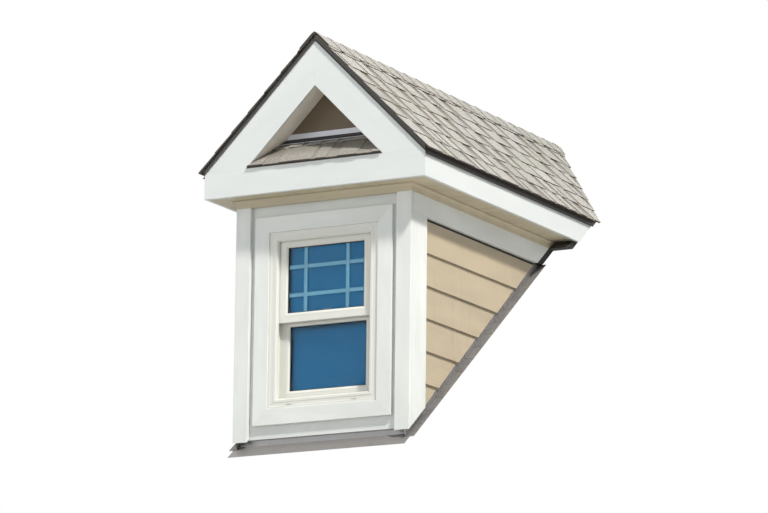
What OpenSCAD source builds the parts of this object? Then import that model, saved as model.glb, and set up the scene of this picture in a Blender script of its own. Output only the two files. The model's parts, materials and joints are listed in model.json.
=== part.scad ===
// Gabled dormer window, built on the slope of a shingled main roof.
// The frame is right-handed, with +X to the right seen from the street, +Y into the roof and +Z up.
// The origin is the middle of the front foot, on the surface of the main roof.

/* [Main roof] */
// Rise of the main roof for each 12 of run
main_rise = 9.5; // [9:0.5:11]

/* [Front wall] */
// Width of the front over its corner boards
front_w = 1076; // [1040:2:1100]
// Height of the soffit above the front foot
eave_z = 1380; // [1370:2:1420]
// Height of the gap left between the trim and the main roof, measured plumb
trim_gap = 48; // [40:1:60]
// Thickness of the corner boards and the frieze
board_t = 25; // [22:1:28]
// Bevel on the long edges of boards
ease = 3; // [1:0.5:4]
// Width of a corner board on the front
corner_front_w = 89; // [80:1:95]
// Width of a corner board on the cheek
corner_side_w = 184; // [140:1:190]
// Depth of the side frieze below the soffit
frieze_h = 154; // [140:1:170]

/* [Framing] */
// Width of a stud, set square to its wall
stud_w = 89; // [89:1:140]
// Thickness of a stud, a rafter or a plate
stud_t = 38; // [36:1:40]
// Spacing of the rafters and the cheek studs
frame_step = 406; // [400:1:410]
// Thickness of the wall sheathing
sheathing_t = 11; // [9:1:12]
// Thickness of the roof deck
deck_t = 16; // [12:1:18]

/* [Dormer roof] */
// Rise of the dormer roof for each 12 of run
gable_rise = 12; // [11:0.25:12.5]
// Overhang of the eaves past the cheeks
eave_out = 141; // [130:1:160]
// Overhang of the gable past the front wall
gable_out = 109; // [95:1:125]
// Depth of the fascia boards
fascia_h = 148; // [130:1:150]
// Thickness of the fascia, rake and casing boards
trim_t = 19; // [16:1:20]
// Width of the rake boards, square to the slope
rake_w = 184; // [170:1:190]
// Width of one soffit plank, from groove to groove
plank = 102; // [90:1:130]
// Slope of the small roof at the foot of the gable
return_angle = 45; // [42:1:50]
// Length of each shingle course left open to the weather
course = 143; // [130:1:150]
// Thickness of the shingles at a butt edge
shingle_t = 10; // [8:1:12]

/* [Siding] */
// Height of each siding course left open to the weather
lap = 178; // [150:2:190]
// Thickness of the siding at a butt edge
lap_t = 16; // [12:1:20]

/* [Window] */
// Width of the window unit
unit_w = 666; // [650:2:680]
// Height of the window unit
unit_h = 965; // [940:5:980]
// Height of the window unit's foot
unit_z = 222; // [215:1:230]
// Width of the casing boards
casing_w = 89; // [80:1:95]
// Half the width of the glass that shows
glass_half_w = 233; // [228:1:236]
// Height of the meeting rails above the foot of the unit
meeting_z = 468; // [460:1:480]
// Depth of the bevel from each sash's face down to its glass
bead = 8; // [5:1:9]

/* [Hidden] */
big = 5000;
main_pitch = atan(main_rise / 12);
gable_pitch = atan(gable_rise / 12);

// Layers of the front wall, measured back from the face of the corner boards.
panel_y = board_t;
sheathing_y = panel_y + 12;
stud_y = sheathing_y + sheathing_t;
frame_y = stud_y + stud_w;

// Layers of the cheeks, measured out from the middle.
half_w = front_w / 2;
sheath_x = half_w - board_t;
frame_x = sheath_x - sheathing_t;
inner_x = frame_x - stud_w;

// Roof lines. The gable lines are those of the deck's underside.
eave_x = half_w + eave_out;
fascia_x = eave_x - trim_t;
fascia_top = eave_z + fascia_h;
ridge_z = fascia_top + eave_x * tan(gable_pitch);
gable_y = -gable_out;
rake_back_y = gable_y + trim_t;
soffit_t = 10;
gable_panel_t = 6;
far_y = ridge_z / tan(main_pitch) + 200;
gable_panel_y = sheathing_y - gable_panel_t;
rake_drop = rake_w / cos(gable_pitch);
rake_foot_x = eave_x - rake_drop / tan(gable_pitch);

// Window levels.
unit_top = unit_z + unit_h;
opening_gap = 10;
opening_x = unit_w / 2 + opening_gap;
sill_z = unit_z - opening_gap;
head_z = unit_top + opening_gap;
plate_top = sill_z - stud_t;
header_h = 140;
wall_top = 1534;
plate_h = 2 * stud_t;

// The side roof layers, measured square to the slope from the underside of the deck.
shingle_off = deck_t;
cap_off = deck_t + shingle_t;
cap_t = 6;
shingle_out = 15;
drip_t = 3;
sleeper_t = 25;
frieze_z = eave_z - frieze_h;
trim_off = trim_gap * cos(main_pitch);

// Height of a line that runs with the gable, at x from the middle and off square to the slope.
function gable_z(x, off = 0) = ridge_z - abs(x) * tan(gable_pitch) + off / cos(gable_pitch);

// Height of a line that runs with the return roof, at y and off square to its slope.
function return_z(y, off = 0) =
    fascia_top + (y - gable_y) * tan(return_angle) + off / cos(return_angle);

// A profile drawn in x and z, run from y0 to y1.
module along_y(y0, y1) {
    translate([0, y1, 0]) rotate([90, 0, 0]) linear_extrude(y1 - y0) children();
}

// A profile drawn in y and z, run from x0 to x1.
module along_x(x0, x1) {
    translate([x0, 0, 0]) rotate([90, 0, 90]) linear_extrude(x1 - x0) children();
}

// A block between two corners.
module block(low, high) {
    translate(low) cube(high - low);
}

// A block whose front, at low y, is larger than its back by grow on all four sides.
module splayed_block(low, high, grow) {
    intersection() {
        translate([0, 0, low.z - grow]) linear_extrude(high.z - low.z + 2 * grow)
            polygon([[low.x - grow, low.y], [high.x + grow, low.y], [high.x, high.y], [low.x, high.y]]);
        along_x(low.x - grow, high.x + grow)
            polygon([[low.y, low.z - grow], [low.y, high.z + grow], [high.y, high.z], [high.y, low.z]]);
    }
}

// The piece as drawn for the right side, or its mirror image for the left.
module on_side(side) {
    if (side == "right") {
        children();
    } else {
        mirror([1, 0, 0]) children();
    }
}

module on_both_sides() {
    on_side("left") children();
    on_side("right") children();
}

// What lies above the main roof, with off left between, square to the slope.
module above_main_roof(off = 0) {
    difference() {
        children();
        rotate([main_pitch, 0, 0]) translate([-big, -big, off - big]) cube([2 * big, 2 * big, big]);
    }
}

// What lies under a line that runs with the gable.
module under_gable(off = 0) {
    intersection() {
        children();
        along_y(-big, big) polygon([[-big, -big], [big, -big], [big, gable_z(big, off)],
                                    [0, gable_z(0, off)], [-big, gable_z(big, off)]]);
    }
}

// A band that runs with the right slope from the ridge to x1, between two lines square to it.
module slope_band(x1, low, high) {
    polygon([[0, gable_z(0, low)], [x1, gable_z(x1, low)],
             [x1, gable_z(x1, high)], [0, gable_z(0, high)]]);
}

// The same band on both slopes, folded at the ridge.
module chevron_band(x1, low, high) {
    polygon([[-x1, gable_z(x1, low)], [0, gable_z(0, low)], [x1, gable_z(x1, low)],
             [x1, gable_z(x1, high)], [0, gable_z(0, high)], [-x1, gable_z(x1, high)]]);
}

// Front sole plate, cut from a deep timber so that its foot lies on the main roof.
module front_sole_plate() {
    color("burlywood") above_main_roof()
        block([-frame_x, stud_y, 0], [frame_x, frame_y, plate_top]);
}

// Sole plates of the cheeks, laid flat on the main roof.
module cheek_sole_plates() {
    color("burlywood") on_both_sides() intersection() {
        rotate([main_pitch, 0, 0]) cube([frame_x, big, stud_t]);
        block([inner_x, frame_y, 0], [frame_x, far_y, wall_top]);
    }
}

// Corner studs, full studs, the short ones over the header and those of the gable.
module front_studs() {
    over_header = head_z + header_h;
    gable_x = 0.45 * frame_x;
    color("burlywood") {
        on_both_sides() for (x = [opening_x + stud_t, frame_x - stud_t])
            block([x, stud_y, plate_top], [x + stud_t, frame_y, wall_top]);
        for (x = [-opening_x, -stud_t / 2, opening_x - stud_t])
            block([x, stud_y, over_header], [x + stud_t, frame_y, wall_top]);
        block([-stud_t / 2, stud_y, wall_top + plate_h],
              [stud_t / 2, frame_y, gable_z(stud_t / 2) - header_h]);
        under_gable(-stud_w) on_both_sides()
            block([gable_x, stud_y, wall_top + plate_h], [gable_x + stud_t, stud_y + stud_t, ridge_z]);
    }
}

// Short studs at the sides of the opening, which carry the header.
module jack_studs() {
    color("burlywood") on_both_sides()
        block([opening_x, stud_y, plate_top], [opening_x + stud_t, frame_y, head_z]);
}

module window_header() {
    color("burlywood") block([-opening_x - stud_t, stud_y, head_z],
                             [opening_x + stud_t, frame_y, head_z + header_h]);
}

module rough_sill() {
    color("burlywood") block([-opening_x, stud_y, plate_top], [opening_x, frame_y, sill_z]);
}

module cheek_studs() {
    color("burlywood") above_main_roof(stud_t) on_both_sides()
        for (y = [stud_y + frame_step : frame_step : stud_y + 3 * frame_step])
            block([inner_x, y, 0], [frame_x, y + stud_t, wall_top]);
}

module front_top_plate() {
    color("burlywood") block([-frame_x, stud_y, wall_top], [frame_x, frame_y, wall_top + plate_h]);
}

module cheek_top_plates() {
    color("burlywood") above_main_roof() on_both_sides()
        block([inner_x, frame_y, wall_top], [frame_x, far_y, wall_top + plate_h]);
}

// Rafters, notched over the top plates and cut at the valley sleepers.
module rafters() {
    seat_z = wall_top + plate_h;
    color("burlywood") above_main_roof(sleeper_t) on_both_sides()
        for (y = [stud_y : frame_step : ridge_z / tan(main_pitch)])
            along_y(y, y + stud_t) difference() {
                polygon([[stud_t / 2, gable_z(stud_t / 2)], [fascia_x, gable_z(fascia_x)],
                         [fascia_x, gable_z(fascia_x, -stud_w)],
                         [stud_t / 2, gable_z(stud_t / 2, -stud_w)]]);
                translate([0, seat_z - big]) square([frame_x, big]);
            }
}

module ridge_board() {
    color("burlywood") above_main_roof()
        block([-stud_t / 2, stud_y, gable_z(stud_t / 2) - header_h],
              [stud_t / 2, far_y, gable_z(stud_t / 2)]);
}

// Flat boards on the main roof under the valleys, bevelled to the dormer's deck.
module valley_sleepers() {
    sleeper_w = 140;
    ridge_run = gable_z(stud_t / 2) / sin(main_pitch);
    wall_run = gable_z(inner_x) / sin(main_pitch);
    valley_turn = atan((inner_x - stud_t / 2) / (ridge_run - wall_run));
    reach = sleeper_w / sin(valley_turn);
    color("burlywood") under_gable() on_both_sides()
        rotate([main_pitch, 0, 0]) linear_extrude(sleeper_t)
            polygon([[stud_t / 2, ridge_run], [inner_x, wall_run],
                     [inner_x, wall_run - reach], [stud_t / 2, ridge_run - reach]]);
}

// Sheathing of the front wall and its gable, with the window cut through.
module front_sheathing() {
    color("peru") under_gable() above_main_roof() difference() {
        block([-sheath_x, sheathing_y, 0], [sheath_x, stud_y, ridge_z]);
        block([-opening_x, 0, sill_z], [opening_x, stud_y + 1, head_z]);
    }
}

module cheek_sheathing() {
    color("peru") above_main_roof() on_both_sides()
        block([frame_x, stud_y, 0], [sheath_x, far_y, gable_z(sheath_x, -stud_w)]);
}

module roof_deck(side) {
    color("peru") above_main_roof() on_side(side)
        along_y(gable_y, far_y) slope_band(eave_x, 0, deck_t);
}

// Flat panel of the front wall, with the window cut through.
module front_panel() {
    color("gainsboro") difference() {
        block([-sheath_x, panel_y, trim_gap + 14], [sheath_x, sheathing_y, eave_z + 22]);
        block([-opening_x, 0, sill_z], [opening_x, sheathing_y + 1, head_z]);
    }
}

module gable_panel() {
    color("dimgray") under_gable() block([-sheath_x, gable_panel_y, eave_z + 22],
                                         [sheath_x, sheathing_y, ridge_z]);
}

// Corner boards in one piece, with the leg on the cheek cut to the main roof.
module corner_boards() {
    inner = half_w - corner_front_w;
    color("white") above_main_roof(trim_off) on_both_sides() union() {
        linear_extrude(eave_z)
            polygon([[inner + ease, 0], [half_w - ease, 0], [half_w, ease], [half_w, board_t],
                     [inner, board_t], [inner, ease]]);
        linear_extrude(frieze_z)
            polygon([[half_w - board_t, 0], [half_w - ease, 0], [half_w, ease],
                     [half_w, corner_side_w - ease], [half_w - ease, corner_side_w],
                     [half_w - board_t, corner_side_w]]);
    }
}

// Lap siding of the cheeks. Each course thins towards its top edge and has a rolled butt.
module siding() {
    top_t = 5;
    roll = 4;
    top_course = 192;
    courses = ceil((frieze_z - top_course - trim_gap) / lap) + 1;
    butts = [for (i = [1 : courses]) frieze_z - top_course - (courses - i) * lap];
    heads = [for (i = [1 : courses]) i == courses ? frieze_z : butts[i]];
    color("tan") above_main_roof(trim_off) on_both_sides()
        along_y(corner_side_w, far_y) polygon(concat(
            [[sheath_x, butts[0]]],
            [for (i = [0 : courses - 1]) each [[sheath_x + lap_t - roll, butts[i]],
                                               [sheath_x + lap_t - 1, butts[i] + 1],
                                               [sheath_x + lap_t, butts[i] + roll],
                                               [sheath_x + top_t, heads[i]]]],
            [[sheath_x, frieze_z]]));
}

module side_friezes() {
    color("white") above_main_roof(trim_off) on_both_sides() along_y(board_t, far_y)
        polygon([[sheath_x, frieze_z], [half_w - ease, frieze_z], [half_w, frieze_z + ease],
                 [half_w, eave_z], [sheath_x, eave_z]]);
}

// Profile of soffit planks laid from start to finish, with V grooves on the underside.
module plank_profile(start, finish) {
    groove = 4;
    joints = [for (a = [start + plank : plank : finish - plank / 2]) a];
    polygon(concat(
        [[start, eave_z]],
        [for (a = joints) each [[a - groove, eave_z], [a, eave_z + groove], [a + groove, eave_z]]],
        [[finish, eave_z], [finish, eave_z + soffit_t], [start, eave_z + soffit_t]]));
}

module soffit_front() {
    color("rosybrown") along_y(rake_back_y, panel_y) plank_profile(-fascia_x, fascia_x);
}

module side_soffits() {
    color("rosybrown") above_main_roof(trim_off) on_both_sides()
        along_x(sheath_x, fascia_x) plank_profile(panel_y, far_y);
}

// Small trim under the soffit, along the top of the front and of each frieze.
bed_t = 14;
bed_h = 44;
module bed_profile() {
    polygon([[0, eave_z - bed_h], [bed_t / 2, eave_z - bed_h], [bed_t, eave_z - bed_h / 2],
             [bed_t, eave_z], [0, eave_z]]);
}

module front_bed_trim() {
    color("rosybrown") union() {
        along_x(-half_w - bed_t, half_w + bed_t) mirror([1, 0]) bed_profile();
        block([corner_front_w - half_w, 0, eave_z - bed_h],
              [half_w - corner_front_w, panel_y, eave_z]);
    }
}

module side_bed_trims() {
    color("rosybrown") above_main_roof(trim_off) on_both_sides()
        along_y(0, far_y) translate([half_w, 0]) bed_profile();
}

// Front fascia. Between the rake boards its top is bevelled to the return roof.
module return_fascia() {
    color("white") union() {
        block([-eave_x, gable_y, eave_z], [eave_x, rake_back_y, fascia_top]);
        under_gable(-rake_w) along_x(-rake_foot_x, rake_foot_x)
            polygon([[gable_y, fascia_top], [rake_back_y, fascia_top],
                     [rake_back_y, fascia_top + trim_t * tan(return_angle)]]);
    }
}

module eave_fascias() {
    color("white") above_main_roof(shingle_t) on_both_sides() along_y(rake_back_y, far_y)
        polygon([[fascia_x, eave_z], [eave_x - ease, eave_z], [eave_x, eave_z + ease],
                 [eave_x, fascia_top], [fascia_x, gable_z(fascia_x)]]);
}

// Rake boards stand on the ends of the return fascia and meet at a plumb joint.
module rake_board(side) {
    color("white") on_side(side) along_y(gable_y, rake_back_y)
        polygon([[0, ridge_z], [eave_x, fascia_top], [rake_foot_x, fascia_top], [0, ridge_z - rake_drop]]);
}

// Boards that close the underside of the gable overhang, in line with the rake boards.
module rake_soffits() {
    color("tan") along_y(rake_back_y, gable_panel_y)
        chevron_band(rake_foot_x, -rake_w, soffit_t - rake_w);
}

// Return roof: deck between the front fascia and the gable panel, with two shingle courses.
return_deck_t = 9;
module return_deck() {
    color("peru") under_gable(-rake_w) along_x(-eave_x, eave_x)
        polygon([[gable_y, return_z(gable_y)], [gable_panel_y, return_z(gable_panel_y)],
                 [gable_panel_y, return_z(gable_panel_y, return_deck_t)],
                 [gable_y, return_z(gable_y, return_deck_t)]]);
}

module return_shingles() {
    butt_y = gable_y - shingle_t;
    step_y = butt_y + course * cos(return_angle);
    top = return_deck_t + shingle_t;
    color("darkkhaki") under_gable(-rake_w) along_x(-eave_x, eave_x)
        polygon([[butt_y, return_z(butt_y, return_deck_t)],
                 [gable_panel_y, return_z(gable_panel_y, return_deck_t)],
                 [gable_panel_y, return_z(gable_panel_y, top)], [step_y, return_z(step_y, top)],
                 [step_y, return_z(step_y, top - shingle_t / 2)], [butt_y, return_z(butt_y, top)]]);
}

// Bent strip where the return roof meets the gable panel.
module gable_flashing() {
    sheet = 2;
    leg = 30;
    back_y = gable_panel_y;
    foot_y = back_y - leg;
    off = return_deck_t + shingle_t;
    top_z = return_z(back_y, off) + leg;
    color("silver") under_gable(-rake_w) along_x(-eave_x, eave_x)
        polygon([[foot_y, return_z(foot_y, off)], [back_y, return_z(back_y, off)], [back_y, top_z],
                 [back_y - sheet, top_z], [back_y - sheet, return_z(back_y - sheet, off + sheet)],
                 [foot_y, return_z(foot_y, off + sheet)]]);
}

module eave_drip_edges() {
    color("darkslategray") above_main_roof() on_both_sides() along_y(gable_y, far_y)
        polygon([[eave_x, fascia_top - 12], [eave_x + drip_t, fascia_top - 12],
                 [eave_x + drip_t, gable_z(eave_x, deck_t)], [eave_x, gable_z(eave_x, deck_t)]]);
}

// Bent strip over the edge of the deck along both rakes.
module rake_drip_edge() {
    color("darkslategray") along_y(gable_y - drip_t, gable_y)
        chevron_band(eave_x + drip_t, -10, deck_t);
}

// Shingle courses of one slope, stepped at each butt edge and level under the ridge cap.
module shingles(side) {
    slope_l = (eave_x + shingle_out) / cos(gable_pitch);
    rows = ceil(slope_l / course);
    thin = shingle_t / 2;
    color("tan") above_main_roof() on_side(side) along_y(gable_y - shingle_out, far_y) intersection() {
        translate([0, ridge_z]) rotate(-gable_pitch) polygon(concat(
            [[-course, shingle_off]], [[slope_l, shingle_off]],
            [for (i = [0 : rows - 2]) each [[slope_l - i * course, shingle_off + shingle_t],
                                            [slope_l - (i + 1) * course, shingle_off + thin]]],
            [[slope_l - (rows - 1) * course, shingle_off + shingle_t],
             [-course, shingle_off + shingle_t]]));
        square(big);
    }
}

// Folded cap over the ridge.
module ridge_cap() {
    leg = 127 * cos(gable_pitch);
    color("tan") above_main_roof() along_y(gable_y - shingle_out, far_y)
        chevron_band(leg, cap_off, cap_off + cap_t);
}

// Dark closures on the main roof under the ends of the frieze and the side soffit.
module eave_closures() {
    color("black") on_both_sides() difference() {
        union() {
            above_main_roof() block([sheath_x, 0, frieze_z], [half_w, far_y, eave_z + soffit_t]);
            above_main_roof() block([sheath_x, 0, eave_z - 48], [fascia_x, far_y, eave_z + soffit_t]);
        }
        above_main_roof(trim_off) block([0, -1, 0], [big, big, big]);
    }
}

// Flashing under the foot of the front: one leg on the main roof, one up the sheathing.
flash_t = 2;
module apron_flashing() {
    leg = 60;
    color("dimgray") union() {
        rotate([main_pitch, 0, 0]) block([-half_w, -leg, 0],
            [half_w, sheathing_y / cos(main_pitch), flash_t]);
        above_main_roof() block([-sheath_x, sheathing_y - flash_t, 0],
                                [sheath_x, sheathing_y, trim_gap + 14]);
    }
}

// Flashing along each cheek: one leg on the main roof, one up the sheathing to the siding's foot.
module step_flashings() {
    leg = 50;
    start = sheathing_y / cos(main_pitch);
    color("dimgray") on_both_sides() intersection() {
        rotate([main_pitch, 0, 0]) union() {
            block([sheath_x, start, 0], [sheath_x + leg, big, flash_t]);
            block([sheath_x, start, 0], [sheath_x + flash_t, big, trim_off]);
        }
        block([0, 0, 0], [big, far_y, frieze_z]);
    }
}

// Flat casing around the window, its face edges eased.
module window_casing() {
    face_y = panel_y - trim_t;
    half_c = unit_w / 2 + casing_w;
    low_z = unit_z - casing_w;
    high_z = unit_top + casing_w;
    color("white") difference() {
        union() {
            block([-half_c, face_y + ease, low_z], [half_c, panel_y, high_z]);
            mirror([0, 1, 0]) splayed_block([ease - half_c, -face_y - ease, low_z + ease],
                                            [half_c - ease, -face_y, high_z - ease], ease);
        }
        block([-unit_w / 2, 0, unit_z], [unit_w / 2, panel_y + 1, unit_top]);
        splayed_block([-unit_w / 2, face_y, unit_z], [unit_w / 2, face_y + ease, unit_top], ease);
    }
}

// Depths in the window unit, measured back from the corner boards.
unit_y = 13;
unit_back_y = unit_y + 97;
sash_t = 30;
upper_y = unit_y + 22;
lower_y = upper_y + sash_t + 3;
track_y = lower_y + sash_t;
// Widths of the frame at its front lip and in the tracks behind, where the sashes run.
lip_w = 52;
jamb_w = 42;
groove = 8;

// The frame: a ring with a splayed lip, two tracks for the sashes and a bead between them.
module window_frame() {
    half_u = unit_w / 2;
    lip = [lip_w - half_u, unit_y, unit_z + lip_w];
    lip_end = [half_u - lip_w, unit_back_y, unit_top - lip_w];
    track = [jamb_w - half_u, upper_y, unit_z + jamb_w];
    track_end = [half_u - jamb_w, track_y, unit_top - jamb_w];
    color("ivory") difference() {
        block([-half_u, unit_y, unit_z], [half_u, unit_back_y, unit_top]);
        block([lip.x, 0, lip.z], [lip_end.x, unit_back_y + 1, lip_end.z]);
        splayed_block(lip, [lip_end.x, unit_y + bead, lip_end.z], bead);
        block(track, [track_end.x, upper_y + sash_t, track_end.z]);
        block([track.x, lower_y, track.z], track_end);
    }
}

// One sash: a ring from low_z to high_z around the glass, bevelled down to it in front,
// with a groove that holds the two panes.
module sash(y, low_z, high_z, glass_low, glass_high) {
    half_s = unit_w / 2 - jamb_w;
    difference() {
        block([-half_s, y, low_z], [half_s, y + sash_t, high_z]);
        block([-glass_half_w, 0, glass_low], [glass_half_w, big, glass_high]);
        splayed_block([-glass_half_w, y, glass_low], [glass_half_w, y + bead, glass_high], bead);
        block([-glass_half_w - groove, y + 11, glass_low - groove],
              [glass_half_w + groove, y + 27, glass_high + groove]);
    }
}

// Two panes with a space between them, set in a sash's groove.
module panes(y, glass_low, glass_high) {
    pane_t = 3;
    for (py = [y + 11, y + 27 - pane_t])
        block([-glass_half_w - groove, py, glass_low - groove],
              [glass_half_w + groove, py + pane_t, glass_high + groove]);
}

upper_low = unit_z + meeting_z;
upper_high = unit_top - jamb_w;
upper_glass_low = upper_low + 52;
upper_glass_high = upper_high - 44;
lower_low = unit_z + jamb_w;
lower_high = upper_low + 32;
lower_glass_low = lower_low + 57;
lower_glass_high = lower_high - 50;

module upper_sash() {
    color("ivory") sash(upper_y, upper_low, upper_high, upper_glass_low, upper_glass_high);
}

module lower_sash() {
    color("ivory") sash(lower_y, lower_low, lower_high, lower_glass_low, lower_glass_high);
}

module window_glass() {
    color("steelblue", 0.5) {
        panes(upper_y, upper_glass_low, upper_glass_high);
        panes(lower_y, lower_glass_low, lower_glass_high);
    }
}

front_sole_plate();
cheek_sole_plates();
front_studs();
jack_studs();
window_header();
rough_sill();
cheek_studs();
front_top_plate();
cheek_top_plates();
rafters();
ridge_board();
valley_sleepers();
front_sheathing();
cheek_sheathing();
roof_deck("left");  // roof_deck_left
roof_deck("right");  // roof_deck_right
front_panel();
gable_panel();
gable_flashing();
corner_boards();
siding();
side_friezes();
soffit_front();
side_soffits();
front_bed_trim();
side_bed_trims();
return_fascia();
eave_fascias();
rake_board("left");  // rake_board_left
rake_board("right");  // rake_board_right
rake_soffits();
return_deck();
return_shingles();
eave_drip_edges();
rake_drip_edge();
shingles("left");  // shingles_left
shingles("right");  // shingles_right
ridge_cap();
eave_closures();
apron_flashing();
step_flashings();
window_casing();
window_frame();
upper_sash();
lower_sash();
window_glass();
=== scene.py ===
# %% [markdown]
# # A gabled dormer window
# A dormer is a small framed front with a window, clad in trim and lap siding, under a shingled roof of its
# own. The solids of its pieces are made already. This file gives them their finish, and makes what is too
# fine or too often repeated for the solids: shingles, siding boards, moulded window profiles, bars between
# the panes, bent metal, nails.

# %% Load the solid model
import json

import bmesh
import bpy
import numpy as np
from mathutils import Matrix, Vector


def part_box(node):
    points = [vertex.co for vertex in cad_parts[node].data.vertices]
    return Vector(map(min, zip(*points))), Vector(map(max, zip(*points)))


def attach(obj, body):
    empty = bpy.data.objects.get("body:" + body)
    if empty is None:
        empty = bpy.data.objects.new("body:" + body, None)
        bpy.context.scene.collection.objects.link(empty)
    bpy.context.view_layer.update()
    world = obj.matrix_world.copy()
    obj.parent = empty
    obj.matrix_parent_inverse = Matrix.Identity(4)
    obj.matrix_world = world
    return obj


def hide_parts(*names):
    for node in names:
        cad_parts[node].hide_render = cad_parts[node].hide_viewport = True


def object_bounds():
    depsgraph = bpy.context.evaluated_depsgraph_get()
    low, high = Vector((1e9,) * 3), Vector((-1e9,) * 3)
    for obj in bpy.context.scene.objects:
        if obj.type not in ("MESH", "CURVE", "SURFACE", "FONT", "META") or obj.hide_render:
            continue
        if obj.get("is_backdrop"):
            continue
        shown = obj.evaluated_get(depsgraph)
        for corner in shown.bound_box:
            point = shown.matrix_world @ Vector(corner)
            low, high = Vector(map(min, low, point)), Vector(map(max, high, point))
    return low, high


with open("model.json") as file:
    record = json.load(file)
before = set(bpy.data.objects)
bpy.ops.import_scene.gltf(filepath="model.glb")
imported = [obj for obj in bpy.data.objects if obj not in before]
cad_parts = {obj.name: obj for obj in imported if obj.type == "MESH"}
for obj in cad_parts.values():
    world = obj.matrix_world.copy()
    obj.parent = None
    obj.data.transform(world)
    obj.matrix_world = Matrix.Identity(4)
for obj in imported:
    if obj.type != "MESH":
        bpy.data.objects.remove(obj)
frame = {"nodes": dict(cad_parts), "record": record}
cad_box = [list(corner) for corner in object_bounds()]
print("solid model from", np.round(cad_box[0], 3), "to", np.round(cad_box[1], 3))

# %% [markdown]
# ## Measures
# Every new piece takes the place of a solid. Its place could be typed in, but then a change of the solids
# would leave it behind, so it is read from the solids' boxes. The dormer is held by a flat sloping seat
# at its foot. The seat's slope is that of its mount, whose axis points down out of the dormer.

# %% Measures read from the solids
def box(node):
    """Lowest and highest corner of a solid piece, as an array of two rows."""
    return np.array([list(corner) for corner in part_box(node)])


rake_low, rake_high = box("rake_board_right")
EAVE_X, RIDGE_Z, EAVE_TOP = rake_high[0], rake_high[2], rake_low[2]
GABLE_Y, RAKE_BACK = rake_low[1], rake_high[1]
TRIM_T = RAKE_BACK - GABLE_Y
GABLE_ANGLE = np.arctan((RIDGE_Z - EAVE_TOP) / EAVE_X)
frieze_low, frieze_high = box("side_friezes")
FRIEZE_Z, SOFFIT_Z = frieze_low[2], frieze_high[2]
HALF_W, BOARD_T = frieze_high[0], box("front_panel")[0, 1]
SHEATH_X = HALF_W - BOARD_T
seat_axis = np.array(frame["record"]["mounts"][0]["axis"], float)
SEAT_NORMAL = -seat_axis / np.linalg.norm(seat_axis)
SEAT_ANGLE = np.arctan2(-SEAT_NORMAL[1], SEAT_NORMAL[2])
print("gable slope", np.degrees(GABLE_ANGLE).round(2), "seat slope", np.degrees(SEAT_ANGLE).round(2))

X, Y, Z = np.eye(3)
rng = np.random.default_rng(12)

# %% [markdown]
# ## Shapes from loops
# Most pieces are lengths of one profile: boards, mouldings, siding, bent metal, even a shingle's tab.
# Curves with a bevel could make some of them, but not with ends cut to a slope or a mitre. So one
# function takes closed loops of points, joins each loop to the next with quads, and caps the ends. Whole
# arrays of like solids are made at once. The sign of each solid's volume tells whether its faces look
# inwards, and then its loops are turned round.

# %% Solids from loops
def solids(loops):
    """The loops as one array of solids, where loops[i, j, k] is point k of loop j of solid i."""
    loops = np.array(loops, float)
    return loops[None] if loops.ndim == 3 else loops


def loft(loops):
    """Closed solids through loops of points. Neighbouring loops are joined by quads, and the two end
    loops are capped. Tells for each solid whether its loops had to be turned round."""
    loops = solids(loops)
    count, rows, size = loops.shape[:3]
    j, k = np.meshgrid(np.arange(rows - 1), np.arange(size), indexing="ij")
    j2, k2 = j + 1, (k + 1) % size
    quads = np.stack([j * size + k, j * size + k2, j2 * size + k2, j2 * size + k], -1).reshape(-1, 4)
    caps = [np.arange(size)[::-1], np.arange(size) + (rows - 1) * size]
    fans = [np.stack([np.full(size - 2, cap[0]), cap[1:-1], cap[2:]], -1) for cap in caps]
    tris = np.concatenate([quads[:, [0, 1, 2]], quads[:, [0, 2, 3]], *fans])
    corners = loops.reshape(count, -1, 3)[:, tris]
    inside_out = np.linalg.det(corners - loops[:, :1, 0, None]).sum(1) < 0
    loops[inside_out] = loops[inside_out, :, ::-1]
    start = np.arange(count)[:, None, None] * rows * size
    faces = (quads + start).reshape(-1, 4).tolist()
    faces += [face for cap in caps for face in (cap + start[:, 0]).tolist()]
    return loops.reshape(-1, 3), faces, inside_out


def rounded(corners, radius, steps=3):
    """A polygon with softened corners. Near each corner C, the outline leaves one edge at P and joins
    the next at Q, each a radius away from C, along the curve (1-t)^2 P + 2t(1-t) C + t^2 Q."""
    corners = np.array(corners, float)
    radius = np.broadcast_to(radius, len(corners))[:, None]
    before, after = np.roll(corners, 1, 0) - corners, np.roll(corners, -1, 0) - corners
    p = corners + radius * before / np.linalg.norm(before, axis=1, keepdims=True)
    q = corners + radius * after / np.linalg.norm(after, axis=1, keepdims=True)
    t = np.linspace(0, 1, steps)[:, None, None]
    return ((1 - t) ** 2 * p + 2 * t * (1 - t) * corners + t ** 2 * q).transpose(1, 0, 2).reshape(-1, 2)


def run(profile, along, start, end, across=None, origin=(0, 0, 0)):
    """Two loops of a board. The profile's two coordinates lie on the two vectors across, and each point
    slides from the origin's plane in the direction along until it meets the start plane, and again
    until it meets the end plane. A plane is (normal, distance from the origin of the frame)."""
    along = np.array(along, float)
    if across is None:
        across = [axis for axis in np.eye(3) if axis @ along == 0]
    points = np.array(origin) + np.array(profile) @ np.array(across)
    return np.stack([points + along * ((far - points @ normal) / (along @ normal))[:, None]
                     for normal, far in (start, end)])


def mirrored(loops):
    """The solids and their mirror images on the left, as one array of solids."""
    loops = solids(loops)
    return np.concatenate([loops, loops * (-1, 1, 1)])


print("rounded square:", len(rounded([(0, 0), (1, 0), (1, 1), (0, 1)], .1)), "points")

# %% [markdown]
# ## From shapes to pieces
# A finish such as wood grain has to follow each board, whichever way the board runs. A UV map could do
# that, but every board would have to be unfolded for it. So each mesh carries a vector named tag. On
# boards it holds a place along the board and two across it, with a random start for each board. On
# shingles it holds a random tone, the layer, and the distance up from the butt edge in courses.

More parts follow.
